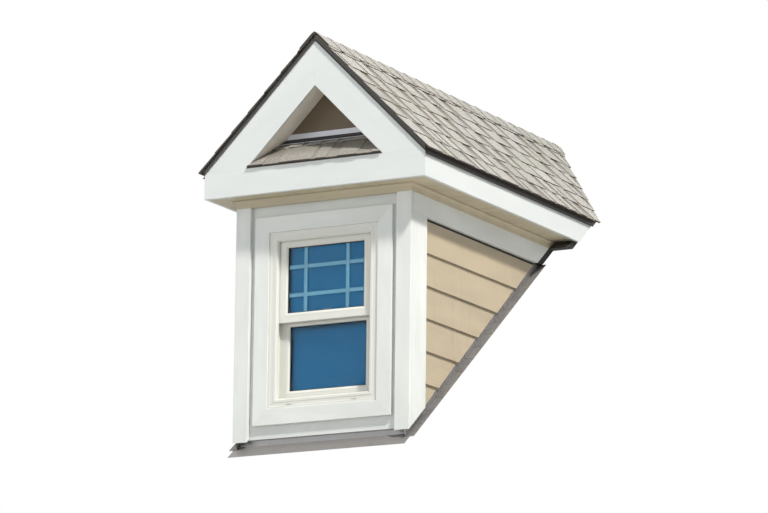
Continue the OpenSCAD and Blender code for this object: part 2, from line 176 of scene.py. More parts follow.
# %% Mesh objects that ride on the frame
def enter(name, mesh, material, tag):
    """Gives a mesh its tag and material, and puts it into the scene as an object at the origin."""
    layer = mesh.attributes.new("tag", "FLOAT_VECTOR", "POINT")
    layer.data.foreach_set("vector", np.asarray(tag, np.float32).ravel())
    mesh.materials.append(material)
    made = bpy.data.objects.new(name, mesh)
    bpy.context.scene.collection.objects.link(made)
    return made


def piece(name, material, parts, replaced, tag):
    """One object from several (points, faces) parts, on the root body."""
    points = np.concatenate([part[0] for part in parts])
    starts = np.cumsum([0] + [len(part[0]) for part in parts])
    faces = [[i + first for i in face] for part, first in zip(parts, starts) for face in part[1]]
    mesh = bpy.data.meshes.new(name)
    mesh.from_pydata(points.tolist(), [], faces)
    mesh.shade_flat()
    mesh.validate()
    made = enter(name, mesh, material, tag)
    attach(made, "root")
    if replaced:
        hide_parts(*replaced)
    print(f"{name}: {len(points)} points, {len(faces)} faces")


def board_tag(loops, along):
    """For boards as loops of shape (solids, rows, points, 3): distance along the board and the two
    coordinates across it, moved by a random amount for each board."""
    frame_axes = np.linalg.svd(np.outer(along, along))[0].T
    local = loops @ frame_axes.T
    local[..., 0] = loops @ np.array(along)
    return local + rng.uniform(-9, 9, (len(loops), 1, 1, 3)) * (1, .01, .01)


def boards(name, material, groups, replaced=()):
    """An object made of boards. Each group is (loops of its boards, direction along them)."""
    parts, tags = [], []
    for loops, along in groups:
        loops = solids(loops)
        points, faces, turned = loft(loops)
        tag = board_tag(loops, along)
        tag[turned] = tag[turned, :, ::-1]
        parts.append((points, faces))
        tags.append(tag.reshape(-1, 3))
    piece(name, material, parts, replaced, np.concatenate(tags))

# %% [markdown]
# ### Solids that only need softer edges
# Framing timbers and two of the flashings already have their shape as solids, and lack only the small
# rounding that catches light. A Bevel modifier gives it. It needs true edges, and the solids come as
# loose triangles, so a copy is joined up first. The solid itself is never changed.

# %% Eased copies
def islands(count, ends):
    """A number for each point, the same for all points that edges join. Every edge hands the lower
    number of its two ends to both, again and again, until no number changes."""
    label = np.arange(count)
    while True:
        before = label.copy()
        np.minimum.at(label, ends.ravel(), label[ends].min(1).repeat(2))
        if (label == before).all():
            return label


def eased_copy(name, node, material, width):
    """A copy of a node with the edges of its solids rounded off. The copied triangles are joined where
    they touch, and flat ones are merged, so that only true edges are bevelled. The tag comes from each
    solid's own long axis: the first right singular vector of its points, taken from their middle."""
    source = frame["nodes"][node].data
    co = np.zeros(len(source.vertices) * 3)
    source.vertices.foreach_get("co", co)
    places, index = np.unique(co.reshape(-1, 3).round(6), axis=0, return_inverse=True)
    corners = np.zeros(len(source.loops), int)
    source.loops.foreach_get("vertex_index", corners)
    triangles = index.ravel()[corners].reshape(-1, 3)
    bm = bmesh.new()
    for place in places:
        bm.verts.new(place)
    bm.verts.ensure_lookup_table()
    for triangle in triangles:
        if len(set(triangle)) == 3:
            bm.faces.new([bm.verts[i] for i in triangle])
    bmesh.ops.dissolve_limit(bm, angle_limit=0.02, verts=bm.verts, edges=bm.edges)
    mesh = bpy.data.meshes.new(name)
    bm.to_mesh(mesh)
    bm.free()
    points = np.array([v.co for v in mesh.vertices])
    label = islands(len(points), np.array([e.vertices[:] for e in mesh.edges]))
    tag = np.zeros_like(points)
    for one in np.unique(label):
        mine = label == one
        centred = points[mine] - points[mine].mean(0)
        axes = np.linalg.svd(centred, full_matrices=False)[2]
        tag[mine] = centred @ axes.T + rng.uniform(-9, 9, 3) * (1, .01, .01)
    made = enter(name, mesh, material, tag)
    bevel = made.modifiers.new("eased edges", "BEVEL")
    bevel.width, bevel.segments, bevel.limit_method, bevel.angle_limit = width, 2, "ANGLE", 0.5
    bevel.use_clamp_overlap = True
    made.modifiers.new("merged tips", "WELD").merge_threshold = 0.00002
    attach(made, "root")
    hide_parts(node)
    print(f"{name}: {len(np.unique(label))} solid(s) eased by {width * 1000:.1f} mm")


def dress(node, material):
    """Gives a solid that stays as it is a new material in all its slots."""
    for slot in frame["nodes"][node].material_slots:
        slot.material = material


labels = islands(5, np.array([(0, 1), (1, 2), (3, 4)]))
print("five points with edges 0-1, 1-2 and 3-4 are", len(set(labels)), "islands")

# %% [markdown]
# ## Shader building blocks
# Painted wood, vinyl, sheet metal and shingles age in the same few ways, so each effect is a node group
# that is built once and placed in every material that needs it, with values of its own. A short helper
# adds one node and links or sets its inputs, which keeps each group to a few readable lines.

# %% Helpers that place nodes
def srgb(red, green, blue):
    """Shader colour of a paint given as 0 to 255: the linear value of each channel."""
    c = np.array([red, green, blue]) / 255
    return (*np.where(c < 0.04045, c / 12.92, ((c + 0.055) / 1.055) ** 2.4), 1.0)


def add(tree, kind, inputs=None, **settings):
    """Adds a shader node, sets its settings, and links a socket or sets a value for each input."""
    node = tree.nodes.new("ShaderNode" + kind)
    for key, value in settings.items():
        setattr(node, key, value)
    for key, value in (inputs or {}).items():
        if isinstance(value, bpy.types.NodeSocket):
            tree.links.new(value, node.inputs[key])
        else:
            node.inputs[key].default_value = value
    return node


def group(name, inputs, outputs):
    """An empty node group. Inputs and outputs map socket names to Float, Vector or Color."""
    tree = bpy.data.node_groups.new(name, "ShaderNodeTree")
    for names, way in ((inputs, "INPUT"), (outputs, "OUTPUT")):
        for socket, kind in names.items():
            tree.interface.new_socket(socket, in_out=way, socket_type="NodeSocket" + kind)
    return tree, tree.nodes.new("NodeGroupInput").outputs, tree.nodes.new("NodeGroupOutput")


def use(tree, name, inputs):
    """Places a finished group in a material and returns its outputs."""
    return add(tree, "Group", inputs, node_tree=bpy.data.node_groups[name]).outputs


print("mid grey as a shader colour:", np.round(srgb(128, 128, 128)[:3], 3))

# %% Helpers for values and colours
def place_of(tree):
    """A point's place in the frame, in metres."""
    return add(tree, "TexCoord").outputs["Object"]


def tag_of(tree):
    """The tag that the mesh carries."""
    return add(tree, "Attribute", attribute_name="tag").outputs["Vector"]


def split(tree, vector):
    """The three coordinates of a vector, by the names X, Y and Z or by number."""
    return add(tree, "SeparateXYZ", {0: vector}).outputs


def looks_up(tree, normal="True Normal"):
    """How far a face looks up: the Z of its normal, from -1 to 1."""
    return split(tree, add(tree, "NewGeometry").outputs[normal])["Z"]


def fade(tree, value, low, high, start=0.0, end=1.0):
    """Maps low to start and high to end, and holds the ends beyond."""
    return add(tree, "MapRange", {"Value": value, "From Min": low, "From Max": high,
                                  "To Min": start, "To Max": end}).outputs["Result"]


def sums(tree, operation, *values):
    """One step of arithmetic."""
    return add(tree, "Math", dict(enumerate(values)), operation=operation).outputs[0]


def stretched(tree, vector, scale):
    """The vector with each coordinate multiplied."""
    return add(tree, "VectorMath", {0: vector, 1: scale}, operation="MULTIPLY").outputs[0]


def speckle(tree, vector, scale, detail=3.0, rough=0.55):
    """Noise from 0 to 1 with a mean near a half."""
    return add(tree, "TexNoise", {"Vector": vector, "Scale": scale, "Detail": detail,
                                  "Roughness": rough}).outputs["Fac"]


def blend(tree, fac, first, second, mode="MIX"):
    """Mixes two colours, which are the sockets 6 and 7 of a Mix node."""
    return add(tree, "Mix", {0: fac, 6: first, 7: second}, data_type="RGBA", blend_type=mode,
               clamp_factor=True).outputs[2]


def times_grey(tree, colour, value):
    """The colour with its three channels multiplied by the value."""
    grey = add(tree, "CombineColor", {0: value, 1: value, 2: value}).outputs[0]
    return blend(tree, 1.0, colour, grey, "MULTIPLY")

# %% [markdown]
# ### Rain marks, dust, and painted shade in joints
# Rain carries dust down a wall, so its marks are noise stretched along Z. Dust lies on faces that look
# up, which the normal tells. Joints are darkened where ambient occlusion is low: partly dirt that stays
# there, and partly painted shade. A painted mask could place each mark by hand, but rules like these need
# no picture and suit every piece.

# %% Weather and joint shade group
tree, given, out = group("weather", {"Color": "Color", "Streaks": "Float", "Dust": "Float",
                                     "Joint dirt and shade": "Float"}, {"Color": "Color", "Mask": "Float"})
place = place_of(tree)
lines = fade(tree, speckle(tree, stretched(tree, place, (26, 26, 1.3)), 1, 4, .62), .47, .74)
patch = fade(tree, speckle(tree, place, 2.1), .38, .66)
marks = sums(tree, "MULTIPLY", sums(tree, "MULTIPLY", lines, patch), given["Streaks"])
lies = sums(tree, "MULTIPLY", fade(tree, looks_up(tree, "Normal"), .25, .95),
            fade(tree, speckle(tree, place, 14), .3, .65))
dust = sums(tree, "MULTIPLY", lies, given["Dust"])
# Where ambient occlusion is low, joints turn dark: dirt that stays there, and painted shade.
openness = add(tree, "AmbientOcclusion", {"Distance": 0.03}, samples=6).outputs["AO"]
joint = sums(tree, "MULTIPLY", fade(tree, openness, .75, .2), given["Joint dirt and shade"])
colour = blend(tree, marks, given["Color"], srgb(112, 104, 92))
colour = blend(tree, dust, colour, srgb(150, 140, 122))
colour = blend(tree, joint, colour, srgb(74, 68, 60))
tree.links.new(colour, out.inputs["Color"])
tree.links.new(sums(tree, "MAXIMUM", sums(tree, "MAXIMUM", marks, dust), joint), out.inputs["Mask"])

# %% [markdown]
# ### Paint film and worn edges
# A brush leaves fine lines along a board, and a spray gun leaves a soft orange peel. Both are noise on
# the tag, one stretched and one even. On edges the film is thin: there the normal of a rounded edge,
# which the Bevel node gives, turns away from the face's own normal.

# %% Film and edge groups
tree, given, out = group("film", {"Tag": "Vector", "Brush": "Float", "Peel": "Float"},
                         {"Height": "Float", "Tone": "Float"})
brush = speckle(tree, stretched(tree, given["Tag"], (7, 420, 420)), 1, 2, .5)
peel = speckle(tree, given["Tag"], 260, 1, .5)
slow = speckle(tree, stretched(tree, given["Tag"], (2.2, 9, 9)), 1, 2, .5)
height = sums(tree, "ADD", sums(tree, "MULTIPLY", brush, given["Brush"]),
              sums(tree, "MULTIPLY", peel, given["Peel"]))
tree.links.new(height, out.inputs["Height"])
tree.links.new(slow, out.inputs["Tone"])

tree, given, out = group("edges", {"Radius": "Float"}, {"Mask": "Float"})
soft = add(tree, "Bevel", {"Radius": given["Radius"]}, samples=4).outputs[0]
flat = add(tree, "NewGeometry").outputs["Normal"]
turn = add(tree, "VectorMath", {0: soft, 1: flat}, operation="DOT_PRODUCT").outputs["Value"]
broken = speckle(tree, place_of(tree), 60, 3, .6)
tree.links.new(sums(tree, "MULTIPLY", fade(tree, turn, .985, .8), fade(tree, broken, .42, .62)),
               out.inputs["Mask"])

# %% [markdown]
# ### Wood grain
# A board is a slice through a trunk, so its grain is a set of thin cylinders around a line along the
# board, some way off to the side. The distance from that line, shaken by slow noise, goes through a wave.
# Straight stripes would be simpler, but only a slice through cylinders shows the arches of sawn wood.
# Fine fibres lie over it.

# %% Grain group
tree, given, out = group("grain", {"Tag": "Vector", "Ring": "Float"}, {"Fac": "Float", "Height": "Float"})
shake = add(tree, "TexNoise", {"Vector": stretched(tree, given["Tag"], (1.6, 9, 9)), "Scale": 1.0,
                               "Detail": 3.0}).outputs["Color"]
shift = stretched(tree, add(tree, "VectorMath", {0: shake, 1: (-.5, -.5, -.5)},
                            operation="ADD").outputs[0], (0, .035, .035))
moved = add(tree, "VectorMath", {0: given["Tag"], 1: shift}, operation="ADD").outputs[0]
flat = stretched(tree, moved, (0, 1, 1))
radius = add(tree, "VectorMath", {0: flat}, operation="LENGTH").outputs["Value"]
wave = sums(tree, "SINE", sums(tree, "MULTIPLY", radius, given["Ring"]))
late = fade(tree, wave, -.3, 1)
fibre = speckle(tree, stretched(tree, given["Tag"], (9, 700, 700)), 1, 2, .6)
tree.links.new(sums(tree, "ADD", sums(tree, "MULTIPLY", late, .7), sums(tree, "MULTIPLY", fibre, .3)),
               out.inputs["Fac"])
tree.links.new(sums(tree, "ADD", sums(tree, "MULTIPLY", late, .4), sums(tree, "MULTIPLY", fibre, .6)),
               out.inputs["Height"])
print("groups:", [made.name for made in bpy.data.node_groups])

# %% [markdown]
# ## Finishes
# Each finish starts from one function that chains the groups: a base colour that drifts a little along
# each board, rain marks, dust and the dirt and painted shade of joints over it, and a bump from film and
# grain. The Principled shader stays in the material, with plain numbers on its own sockets. The bright
# sheet of the gable's flashing is painted dark on its faces that look up, as painted shade, so only the
# upright leg shows as a light line.

# %% What every material starts with
def material(name):
    """An empty node material with its output and a Principled shader."""
    made = bpy.data.materials.new(name)
    made.use_nodes = True
    tree = made.node_tree
    tree.nodes.clear()
    shader = add(tree, "BsdfPrincipled")
    add(tree, "OutputMaterial", {"Surface": shader.outputs[0]})
    return made, tree, shader


def weathered(tree, shader, colour, streaks, dust, joints):
    """Takes the colour through the group of rain marks, dust, and dirt and painted shade in joints, to the
    shader, and returns that group's mask.
    """
    weather = use(tree, "weather", {"Color": colour, "Streaks": streaks, "Dust": dust, "Joint dirt and shade": joints})
    tree.links.new(weather["Color"], shader.inputs["Base Color"])
    return weather["Mask"]


def emboss(tree, shader, height, distance, strength=1.0, invert=False):
    """Tilts the shader's normal as if the surface rose by height times distance."""
    raised = add(tree, "Bump", {"Height": height, "Distance": distance, "Strength": strength},
                 invert=invert)
    tree.links.new(raised.outputs[0], shader.inputs["Normal"])

# %% Coated surfaces
def coated(name, colour, rough, drift=0.06, streaks=0.25, dust=0.4, joints=0.5, brush=0.4, peel=0.3,
           grain=0.0, bump=0.0002, worn=0.15, worn_colour=(.6, .58, .54, 1), tagged=True, metallic=0.0,
           ring=900.0):
    """A coloured coat: paint, vinyl or coated sheet. Its tone varies by drift. Streaks and dust weigh the
    rain marks and the dust, and the joint weight weighs the dirt and painted shade in joints. Brush, peel
    and grain weigh a relief bump metres high, and worn weighs the pale edges. The grain's wave is the sine
    of ring times the distance from the heart of the trunk."""
    made, tree, shader = material(name)
    tag = tag_of(tree) if tagged else place_of(tree)
    film = use(tree, "film", {"Tag": tag, "Brush": brush, "Peel": peel})
    tone = fade(tree, film["Tone"], .3, .7, 1 - drift, 1 + drift)
    base = times_grey(tree, colour, tone)
    height = film["Height"]
    if grain:
        wood = use(tree, "grain", {"Tag": tag, "Ring": ring})
        height = sums(tree, "ADD", height, sums(tree, "MULTIPLY", wood["Height"], grain))
        base = blend(tree, sums(tree, "MULTIPLY", wood["Fac"], .10 * grain), base, srgb(120, 108, 90))
    if worn:
        edge = use(tree, "edges", {"Radius": .004})["Mask"]
        base = blend(tree, sums(tree, "MULTIPLY", edge, worn), base, worn_colour)
    mask = weathered(tree, shader, base, streaks, dust, joints)
    dulled = sums(tree, "ADD", mask, sums(tree, "MULTIPLY", film["Tone"], .2))
    tree.links.new(fade(tree, dulled, 0, 1, rough, min(1.0, rough + .35)), shader.inputs["Roughness"])
    emboss(tree, shader, height, bump)
    shader.inputs["Metallic"].default_value = metallic
    return made

# %% Paints, vinyl and sheets
trim_paint = coated("trim_paint", srgb(229, 232, 228), rough=.42, grain=.3, bump=.0002, streaks=.04,
                    joints=.15)
panel_paint = coated("panel_paint", srgb(226, 229, 226), rough=.5, tagged=False, brush=0, peel=.6,
                     streaks=.06, joints=.1)
fascia_coat = coated("fascia_coat", srgb(221, 225, 223), rough=.33, brush=0, peel=.25, drift=.03,
                     streaks=0, worn=.1, joints=.15)
vinyl = coated("cream_vinyl", srgb(224, 224, 216), rough=.3, brush=0, peel=.2, drift=.02, streaks=.05,
               joints=.3, worn=0)
siding_paint = coated("siding_paint", srgb(187, 172, 146), rough=.55, grain=1.0, bump=.0005, streaks=.2,
                      drift=.07, ring=1100)
soffit_paint = coated("soffit_paint", srgb(199, 188, 163), rough=.5, brush=0, peel=.4, tagged=False,
                      dust=0, streaks=0)
rake_paint = coated("rake_soffit_paint", srgb(232, 225, 212), rough=.5, tagged=False, brush=0, peel=.5,
                    streaks=0, joints=.2)
# The gable panel's dark brown is partly painted shade, for the deep recess behind the rakes.
gable_paint_and_shade = coated("gable_paint_and_shade", srgb(104, 90, 72), rough=.6, tagged=False, brush=0, peel=.8,
                     streaks=.15)
dark_sheet = coated("dark_sheet", srgb(44, 41, 38), rough=.38, brush=0, peel=.2, streaks=.25, tagged=False,
                    worn=.5, worn_colour=srgb(120, 112, 104))
grey_sheet = coated("grey_sheet", srgb(142, 141, 142), rough=.4, brush=0, peel=.3, streaks=.5,
                    tagged=False, metallic=.6, worn=.4, worn_colour=srgb(190, 190, 190))
bright_sheet = coated("bright_sheet", srgb(214, 216, 224), rough=.35, brush=0, peel=.3, streaks=0, dust=.1,
                      joints=0, worn=0)
# Faces of the flashing that look up are painted near black: painted shade, which leaves only the upright
# leg light.
tree = bright_sheet.node_tree
colour = tree.nodes["Principled BSDF"].inputs["Base Color"]
tree.links.new(blend(tree, fade(tree, looks_up(tree), .3, .5), colour.links[0].from_socket,
                     srgb(34, 33, 32)), colour)
# Near black, the colour of foam closures and gaskets; it also serves as painted shade in dark gaps.
black_seal_and_shade = coated("black_closure", srgb(24, 23, 22), rough=.9, brush=0, peel=1, bump=.001, tagged=False,
                 streaks=0, dust=.3, joints=0)
caulk = coated("caulk", srgb(222, 222, 214), rough=.5, brush=0, peel=.5, tagged=False, joints=.8)
print("trim paint is finished by", len(trim_paint.node_tree.nodes), "shader nodes")

# %% [markdown]
# ### Bare framing and sheathing
# The framing is sawn spruce: pale, with darker late wood and a knot here and there. The sheathing is
# oriented strand board, whose strands are thin flakes of three or four tones that lie every way. Flakes
# could be modelled, at a great cost for boards that are only seen from below. So stretched cells of
# several turns stand for them.

# %% Lumber and strand board
lumber, tree, shader = material("spruce_lumber")
tag = tag_of(tree)
wood = use(tree, "grain", {"Tag": tag, "Ring": 1150.0})
cells = add(tree, "TexVoronoi", {"Vector": stretched(tree, tag, (2.6, 9, 9)), "Scale": 1.0})
base = blend(tree, wood["Fac"], srgb(222, 190, 142), srgb(176, 128, 78))
base = blend(tree, fade(tree, speckle(tree, stretched(tree, tag, (.7, 4, 4)), 1), .35, .7), base,
             srgb(196, 168, 128))
base = blend(tree, fade(tree, cells.outputs["Distance"], .13, .06), base, srgb(104, 66, 38))
weathered(tree, shader, base, streaks=0.0, dust=.5, joints=.4)
shader.inputs["Roughness"].default_value = .75
emboss(tree, shader, wood["Height"], .0006)

strand_board, tree, shader = material("strand_board")
place = place_of(tree)
flakes, heights = None, None
for turn, tone in ((.3, srgb(206, 172, 118)), (1.3, srgb(184, 144, 92)), (2.4, srgb(222, 194, 146))):
    spun = add(tree, "Mapping", {"Vector": place, "Rotation": (turn, turn * .7, turn),
                                 "Scale": (9, 34, 60)})
    cell = add(tree, "TexVoronoi", {"Vector": spun.outputs[0], "Scale": 1.0})
    shade = add(tree, "SeparateColor", {0: cell.outputs["Color"]}).outputs
    if flakes is None:
        flakes, heights = blend(tree, shade[0], tone, srgb(160, 118, 72)), shade[1]
    else:
        above = blend(tree, shade[0], tone, srgb(168, 128, 84))
        flakes = blend(tree, fade(tree, shade[1], .5, .56), flakes, above)
        heights = sums(tree, "MAXIMUM", heights, shade[2])
fibre = speckle(tree, stretched(tree, place, (300, 300, 90)), 1)
flakes = blend(tree, fade(tree, fibre, .3, .7, 0, .25), flakes, srgb(120, 86, 50))
weathered(tree, shader, flakes, streaks=.1, dust=.3, joints=.5)
shader.inputs["Roughness"].default_value = .7
emboss(tree, shader, heights, .0006)

# %% [markdown]
# ### Mineral granules
# A laminated shingle is felt and asphalt under ceramic granules about 1.5 mm across, blended from stones
# of a few colours. Each tab leans towards one colour of the blend, and the lower layer has a dark band
# printed below the tab above, which makes the roof look thicker. Butts and the ends over the gable are
# dark, because no granules cover a cut. Millions of stones are too many to model, so they are the cells
# of a fine pattern that gives both their colour and their relief.

# %% Shingle material
granules, tree, shader = material("mineral_granules")
place, tag = place_of(tree), split(tree, tag_of(tree))
stone = add(tree, "TexVoronoi", {"Vector": place, "Scale": 640.0})
mixed = add(tree, "SeparateColor", {0: stone.outputs["Color"]}).outputs
tones = add(tree, "ValToRGB", {"Fac": tag[0]})
ramp = tones.color_ramp
ramp.elements[0].color, ramp.elements[1].color = srgb(161, 160, 156), srgb(188, 186, 182)
for at, tone in ((.22, srgb(176, 174, 170)), (.42, srgb(170, 170, 163)), (.62, srgb(182, 178, 174)),
                 (.8, srgb(173, 172, 169))):
    ramp.elements.new(at).color = tone
base = blend(tree, fade(tree, tag[1], .4, .6, 1, 0), tones.outputs[0], srgb(142, 139, 132))
band = sums(tree, "MULTIPLY", fade(tree, tag[1], .6, .4), fade(tree, tag[2], .35, .8))
base = blend(tree, sums(tree, "MULTIPLY", band, .6), base, srgb(84, 77, 68))
mottle = speckle(tree, place, 22, 4, .6)
base = blend(tree, fade(tree, mottle, .35, .7, 0, .3), base, srgb(140, 131, 112))
base = times_grey(tree, base, fade(tree, mixed[0], 0, 1, .62, 1.38))
base = blend(tree, fade(tree, mixed[1], .93, .95), base, srgb(60, 56, 52))
# Faces that do not look up take a grey tan, lighter than a bare cut: painted light that eases the shade on
# the tabs' sides.
base = blend(tree, fade(tree, looks_up(tree), .4, .6, .8, 0), base, srgb(150, 145, 136))
ends = sums(tree, "MAXIMUM", fade(tree, tag[2], .005, .011, 1, 0),
            fade(tree, split(tree, place)["Y"], GABLE_Y - .014, GABLE_Y - .012, 1, 0))
base = blend(tree, ends, base, srgb(80, 74, 68))
weathered(tree, shader, base, streaks=.2, dust=.15, joints=.5)
shader.inputs["Roughness"].default_value = .88
emboss(tree, shader, stone.outputs["Distance"], .0009, .8, invert=True)
print("tones of the shingles:", len(ramp.elements))

# %% [markdown]
# ### Glass
# The panes' deep blue is a painted reflection of the sky. One blue pane would hide the bars that lie
# between the two. So the outer pane is clear glass with a faint blue cast, and the inner pane carries the
# painted blue. It is painted darker towards the left edge of both panes and the top of the lower one, as
# painted shade where the sash stands before it. No box of a solid gives the two widths that this needs: a
# pane stands REBATE deep in its sash, and the lower sash's top bar is MEETING_RAIL wide.

# %% Glass materials
REBATE, MEETING_RAIL = .008, .050
clear_glass, tree, shader = material("clear_glass")
film = fade(tree, speckle(tree, place_of(tree), 6, 4, .6), .45, .75, .015, .09)
tree.links.new(film, shader.inputs["Roughness"])
shader.inputs["Base Color"].default_value = (.72, .88, .97, 1)
shader.inputs["Transmission Weight"].default_value = 1.0
shader.inputs["IOR"].default_value = 1.14

blue_glass, tree, shader = material("painted_sky_glass")
place = place_of(tree)
slow, along = speckle(tree, place, 2.2, 2, .5), split(tree, place)
left_edge, lower_top = box("window_glass")[0, 0] + REBATE, box("lower_sash")[1, 2] - MEETING_RAIL
beside = fade(tree, along["X"], left_edge + .009, left_edge + .030, 1, 0)
below = fade(tree, along["Z"], lower_top - .033, lower_top - .012)
below = sums(tree, "MULTIPLY", below, fade(tree, along["Z"], lower_top + .010, lower_top + .012, 1, 0))
# The blue is a painted reflection of the sky; the band along the left edge and the lower pane's top is
# painted shade.
blue = blend(tree, slow, srgb(8, 97, 137), srgb(14, 108, 146))
painted_edge_shade = sums(tree, "MULTIPLY", sums(tree, "MAXIMUM", beside, below), .8)
tree.links.new(blend(tree, painted_edge_shade, blue, srgb(6, 40, 58)), shader.inputs["Base Color"])
tree.links.new(fade(tree, speckle(tree, place, 9, 4, .6), .4, .8, .03, .16), shader.inputs["Roughness"])
shader.inputs["Transmission Weight"].default_value = .12
shader.inputs["IOR"].default_value = 1.2
# The bars' pale paint is mixed with a painted reflection of the sky on the glass in front of them.
bars_paint_and_sky = coated("bar_paint_and_painted_sky", srgb(120, 158, 170), rough=.35, brush=0, peel=.1, streaks=0, dust=0,
                    joints=0, worn=0)
spacer_metal = coated("spacer_metal", srgb(52, 54, 58), rough=.4, brush=0, peel=.1, streaks=0, dust=0,
                      joints=0, worn=0, metallic=.5, tagged=False)
lock_metal = coated("lock_metal", srgb(206, 204, 194), rough=.35, brush=0, peel=.3, streaks=0,
                    tagged=False, worn=.2)
print("finishes:", len(bpy.data.materials))

# %% [markdown]
# ## Framing and sheathing
# All of this is seen from the open back and from below. Sawn timber has rounded edges, so each framing
# solid is copied and bevelled. The boards of the sheathing have plain sawn edges, so the solids stay and
# only get their finish.

# %% Timbers with eased edges, and sheathing
for node in ("front_sole_plate", "cheek_sole_plates", "front_studs", "jack_studs", "rough_sill",
             "cheek_studs", "rafters", "ridge_board", "valley_sleepers"):
    eased_copy("timber_" + node, node, lumber, .003)
for node in ("front_sheathing", "cheek_sheathing", "roof_deck_left", "roof_deck_right", "return_deck"):
    dress(node, strand_board)

# %% [markdown]
# ### Plates and header
# Top plates are two timbers laid on each other, and the header is two planks with strand board between.
# Each is one solid, and a bevel would only round the outside of the pair, so the boards are lofted one by
# one. BOARD_W is the true width of boards and timbers that are sold as four inches wide.

# %% Plates and header
BOARD_W = .089


def above_seat(off):
    """The plane a given distance above the seat, square to it."""
    return SEAT_NORMAL, off


def slab(low, high, radius=.003, steps=3):
    """Profile of a timber or board between two corners, with rounded edges."""
    return rounded([low, (high[0], low[1]), high, (low[0], high[1])], radius, steps)


def plies(node, axis, cuts):
    """The node's box cut across one axis at the given places, as (low, high) boxes."""
    low, high = box(node)
    for a, b in zip(cuts[:-1], cuts[1:]):
        one, two = low.copy(), high.copy()
        one[axis], two[axis] = a, b
        yield one, two


plate_low, plate_high = box("front_top_plate")
halves = (plate_low[2], (plate_low[2] + plate_high[2]) / 2, plate_high[2])
front_plates = [run(slab(one[[1, 2]], two[[1, 2]]), X, (X, one[0]), (X, two[0]))
                for one, two in plies("front_top_plate", 2, halves)]
boards("timber_front_top_plate", lumber, [(front_plates, X)], ["front_top_plate"])
inner = box("cheek_sole_plates")[1, 0] - BOARD_W
cheek_plates = [run(slab((inner, one[2]), (two[0], two[2])), Y, (Y, one[1]), above_seat(0))
                for one, two in plies("cheek_top_plates", 2, halves)]
boards("timber_cheek_top_plates", lumber, [(mirrored(cheek_plates), Y)],
       ["cheek_top_plates"])
head_low, head_high = box("window_header")
middle, CORE_T = (head_low[1] + head_high[1]) / 2, .0115
cuts = (head_low[1], middle - CORE_T / 2, middle + CORE_T / 2, head_high[1])
planks = [run(slab(one[[1, 2]], two[[1, 2]]), X, (X, one[0]), (X, two[0]))
          for one, two in plies("window_header", 1, cuts)]
boards("timber_window_header", lumber, [([planks[0], planks[2]], X)],
       ["window_header"])
boards("header_filler", strand_board, [(planks[1], X)])

# %% [markdown]
# ## Trim boards
# The trim is square-edged board with its corners just eased. Two boards make each corner: the front one
# covers the edge of the side one, with a hairline between them. A bevelled box would have no such line,
# so each board is a loft of its own. Boards on the cheeks are cut to the slope of the seat and stop
# CLEARANCE above it, measured upright, so the end plane of each loft is that slope.

# %% Corner boards, friezes, panel
EASE, HAIRLINE, CLEARANCE = .0025, .0004, .048
TRIM_OFF = CLEARANCE * np.cos(SEAT_ANGLE)
corner_x = HALF_W - BOARD_W
side_w = box("corner_boards")[1, 1]
trim_end = above_seat(TRIM_OFF)
fronts = run(slab((corner_x, 0), (HALF_W, BOARD_T), EASE), Z, trim_end, (Z, SOFFIT_Z))
sides = run(slab((SHEATH_X, BOARD_T + HAIRLINE), (HALF_W, side_w), EASE), Z, trim_end, (Z, FRIEZE_Z))
boards("corner_boards_laid", trim_paint, [(mirrored(fronts), Z), (mirrored(sides), Z)],
       ["corner_boards"])
frieze = run(slab((SHEATH_X, FRIEZE_Z), (HALF_W, SOFFIT_Z), EASE), Y, (Y, BOARD_T + HAIRLINE), trim_end)
boards("friezes_laid", trim_paint, [(mirrored(frieze), Y)], ["side_friezes"])
dress("front_panel", panel_paint)
dress("gable_panel", gable_paint_and_shade)
dress("rake_soffits", rake_paint)
# The eave closures take the near-black finish: a foam closure, and painted shade for the dark gap behind
# the eave's end.
dress("eave_closures", black_seal_and_shade)

# %% [markdown]
# ## Fascias and rakes
# The fascias are boards wrapped in coated sheet, with a small return bent under the lower edge. They meet
# in mitres at the outer corners. The rake boards run along the slope, meet in a plumb joint at the top,
# and stand on the fascia, so their end planes are upright and level. Cutting a long box with other
# boxes would give the same ends, but a plane to stop at is one line of the loft.

# %% Fascias
def mitre(sign, corner):
    """The upright plane at 45 degrees through an outer corner (x, y) of the front."""
    return np.array([sign, 1.0, 0]), sign * corner[0] + corner[1]


HEM = .0035
face = slab((GABLE_Y, SOFFIT_Z), (RAKE_BACK, EAVE_TOP), (HEM, .001, .001, .0003), 4)
front_fascia = run(face, X, mitre(-1, (-EAVE_X, GABLE_Y)), mitre(1, (EAVE_X, GABLE_Y)))
boards("return_fascia_wrapped", fascia_coat, [(front_fascia, X)], ["return_fascia"])
inner_x = EAVE_X - TRIM_T
face = [(inner_x, SOFFIT_Z), (EAVE_X, SOFFIT_Z), (EAVE_X, EAVE_TOP),
        (inner_x, EAVE_TOP + TRIM_T * np.tan(GABLE_ANGLE))]
side_fascia = run(rounded(face, (.001, HEM, .0015, .001), 4), Y, mitre(1, (EAVE_X + .0003, GABLE_Y)),
                  above_seat(.010))
boards("eave_fascias_wrapped", fascia_coat, [(mirrored(side_fascia), Y)],
       ["eave_fascias"])

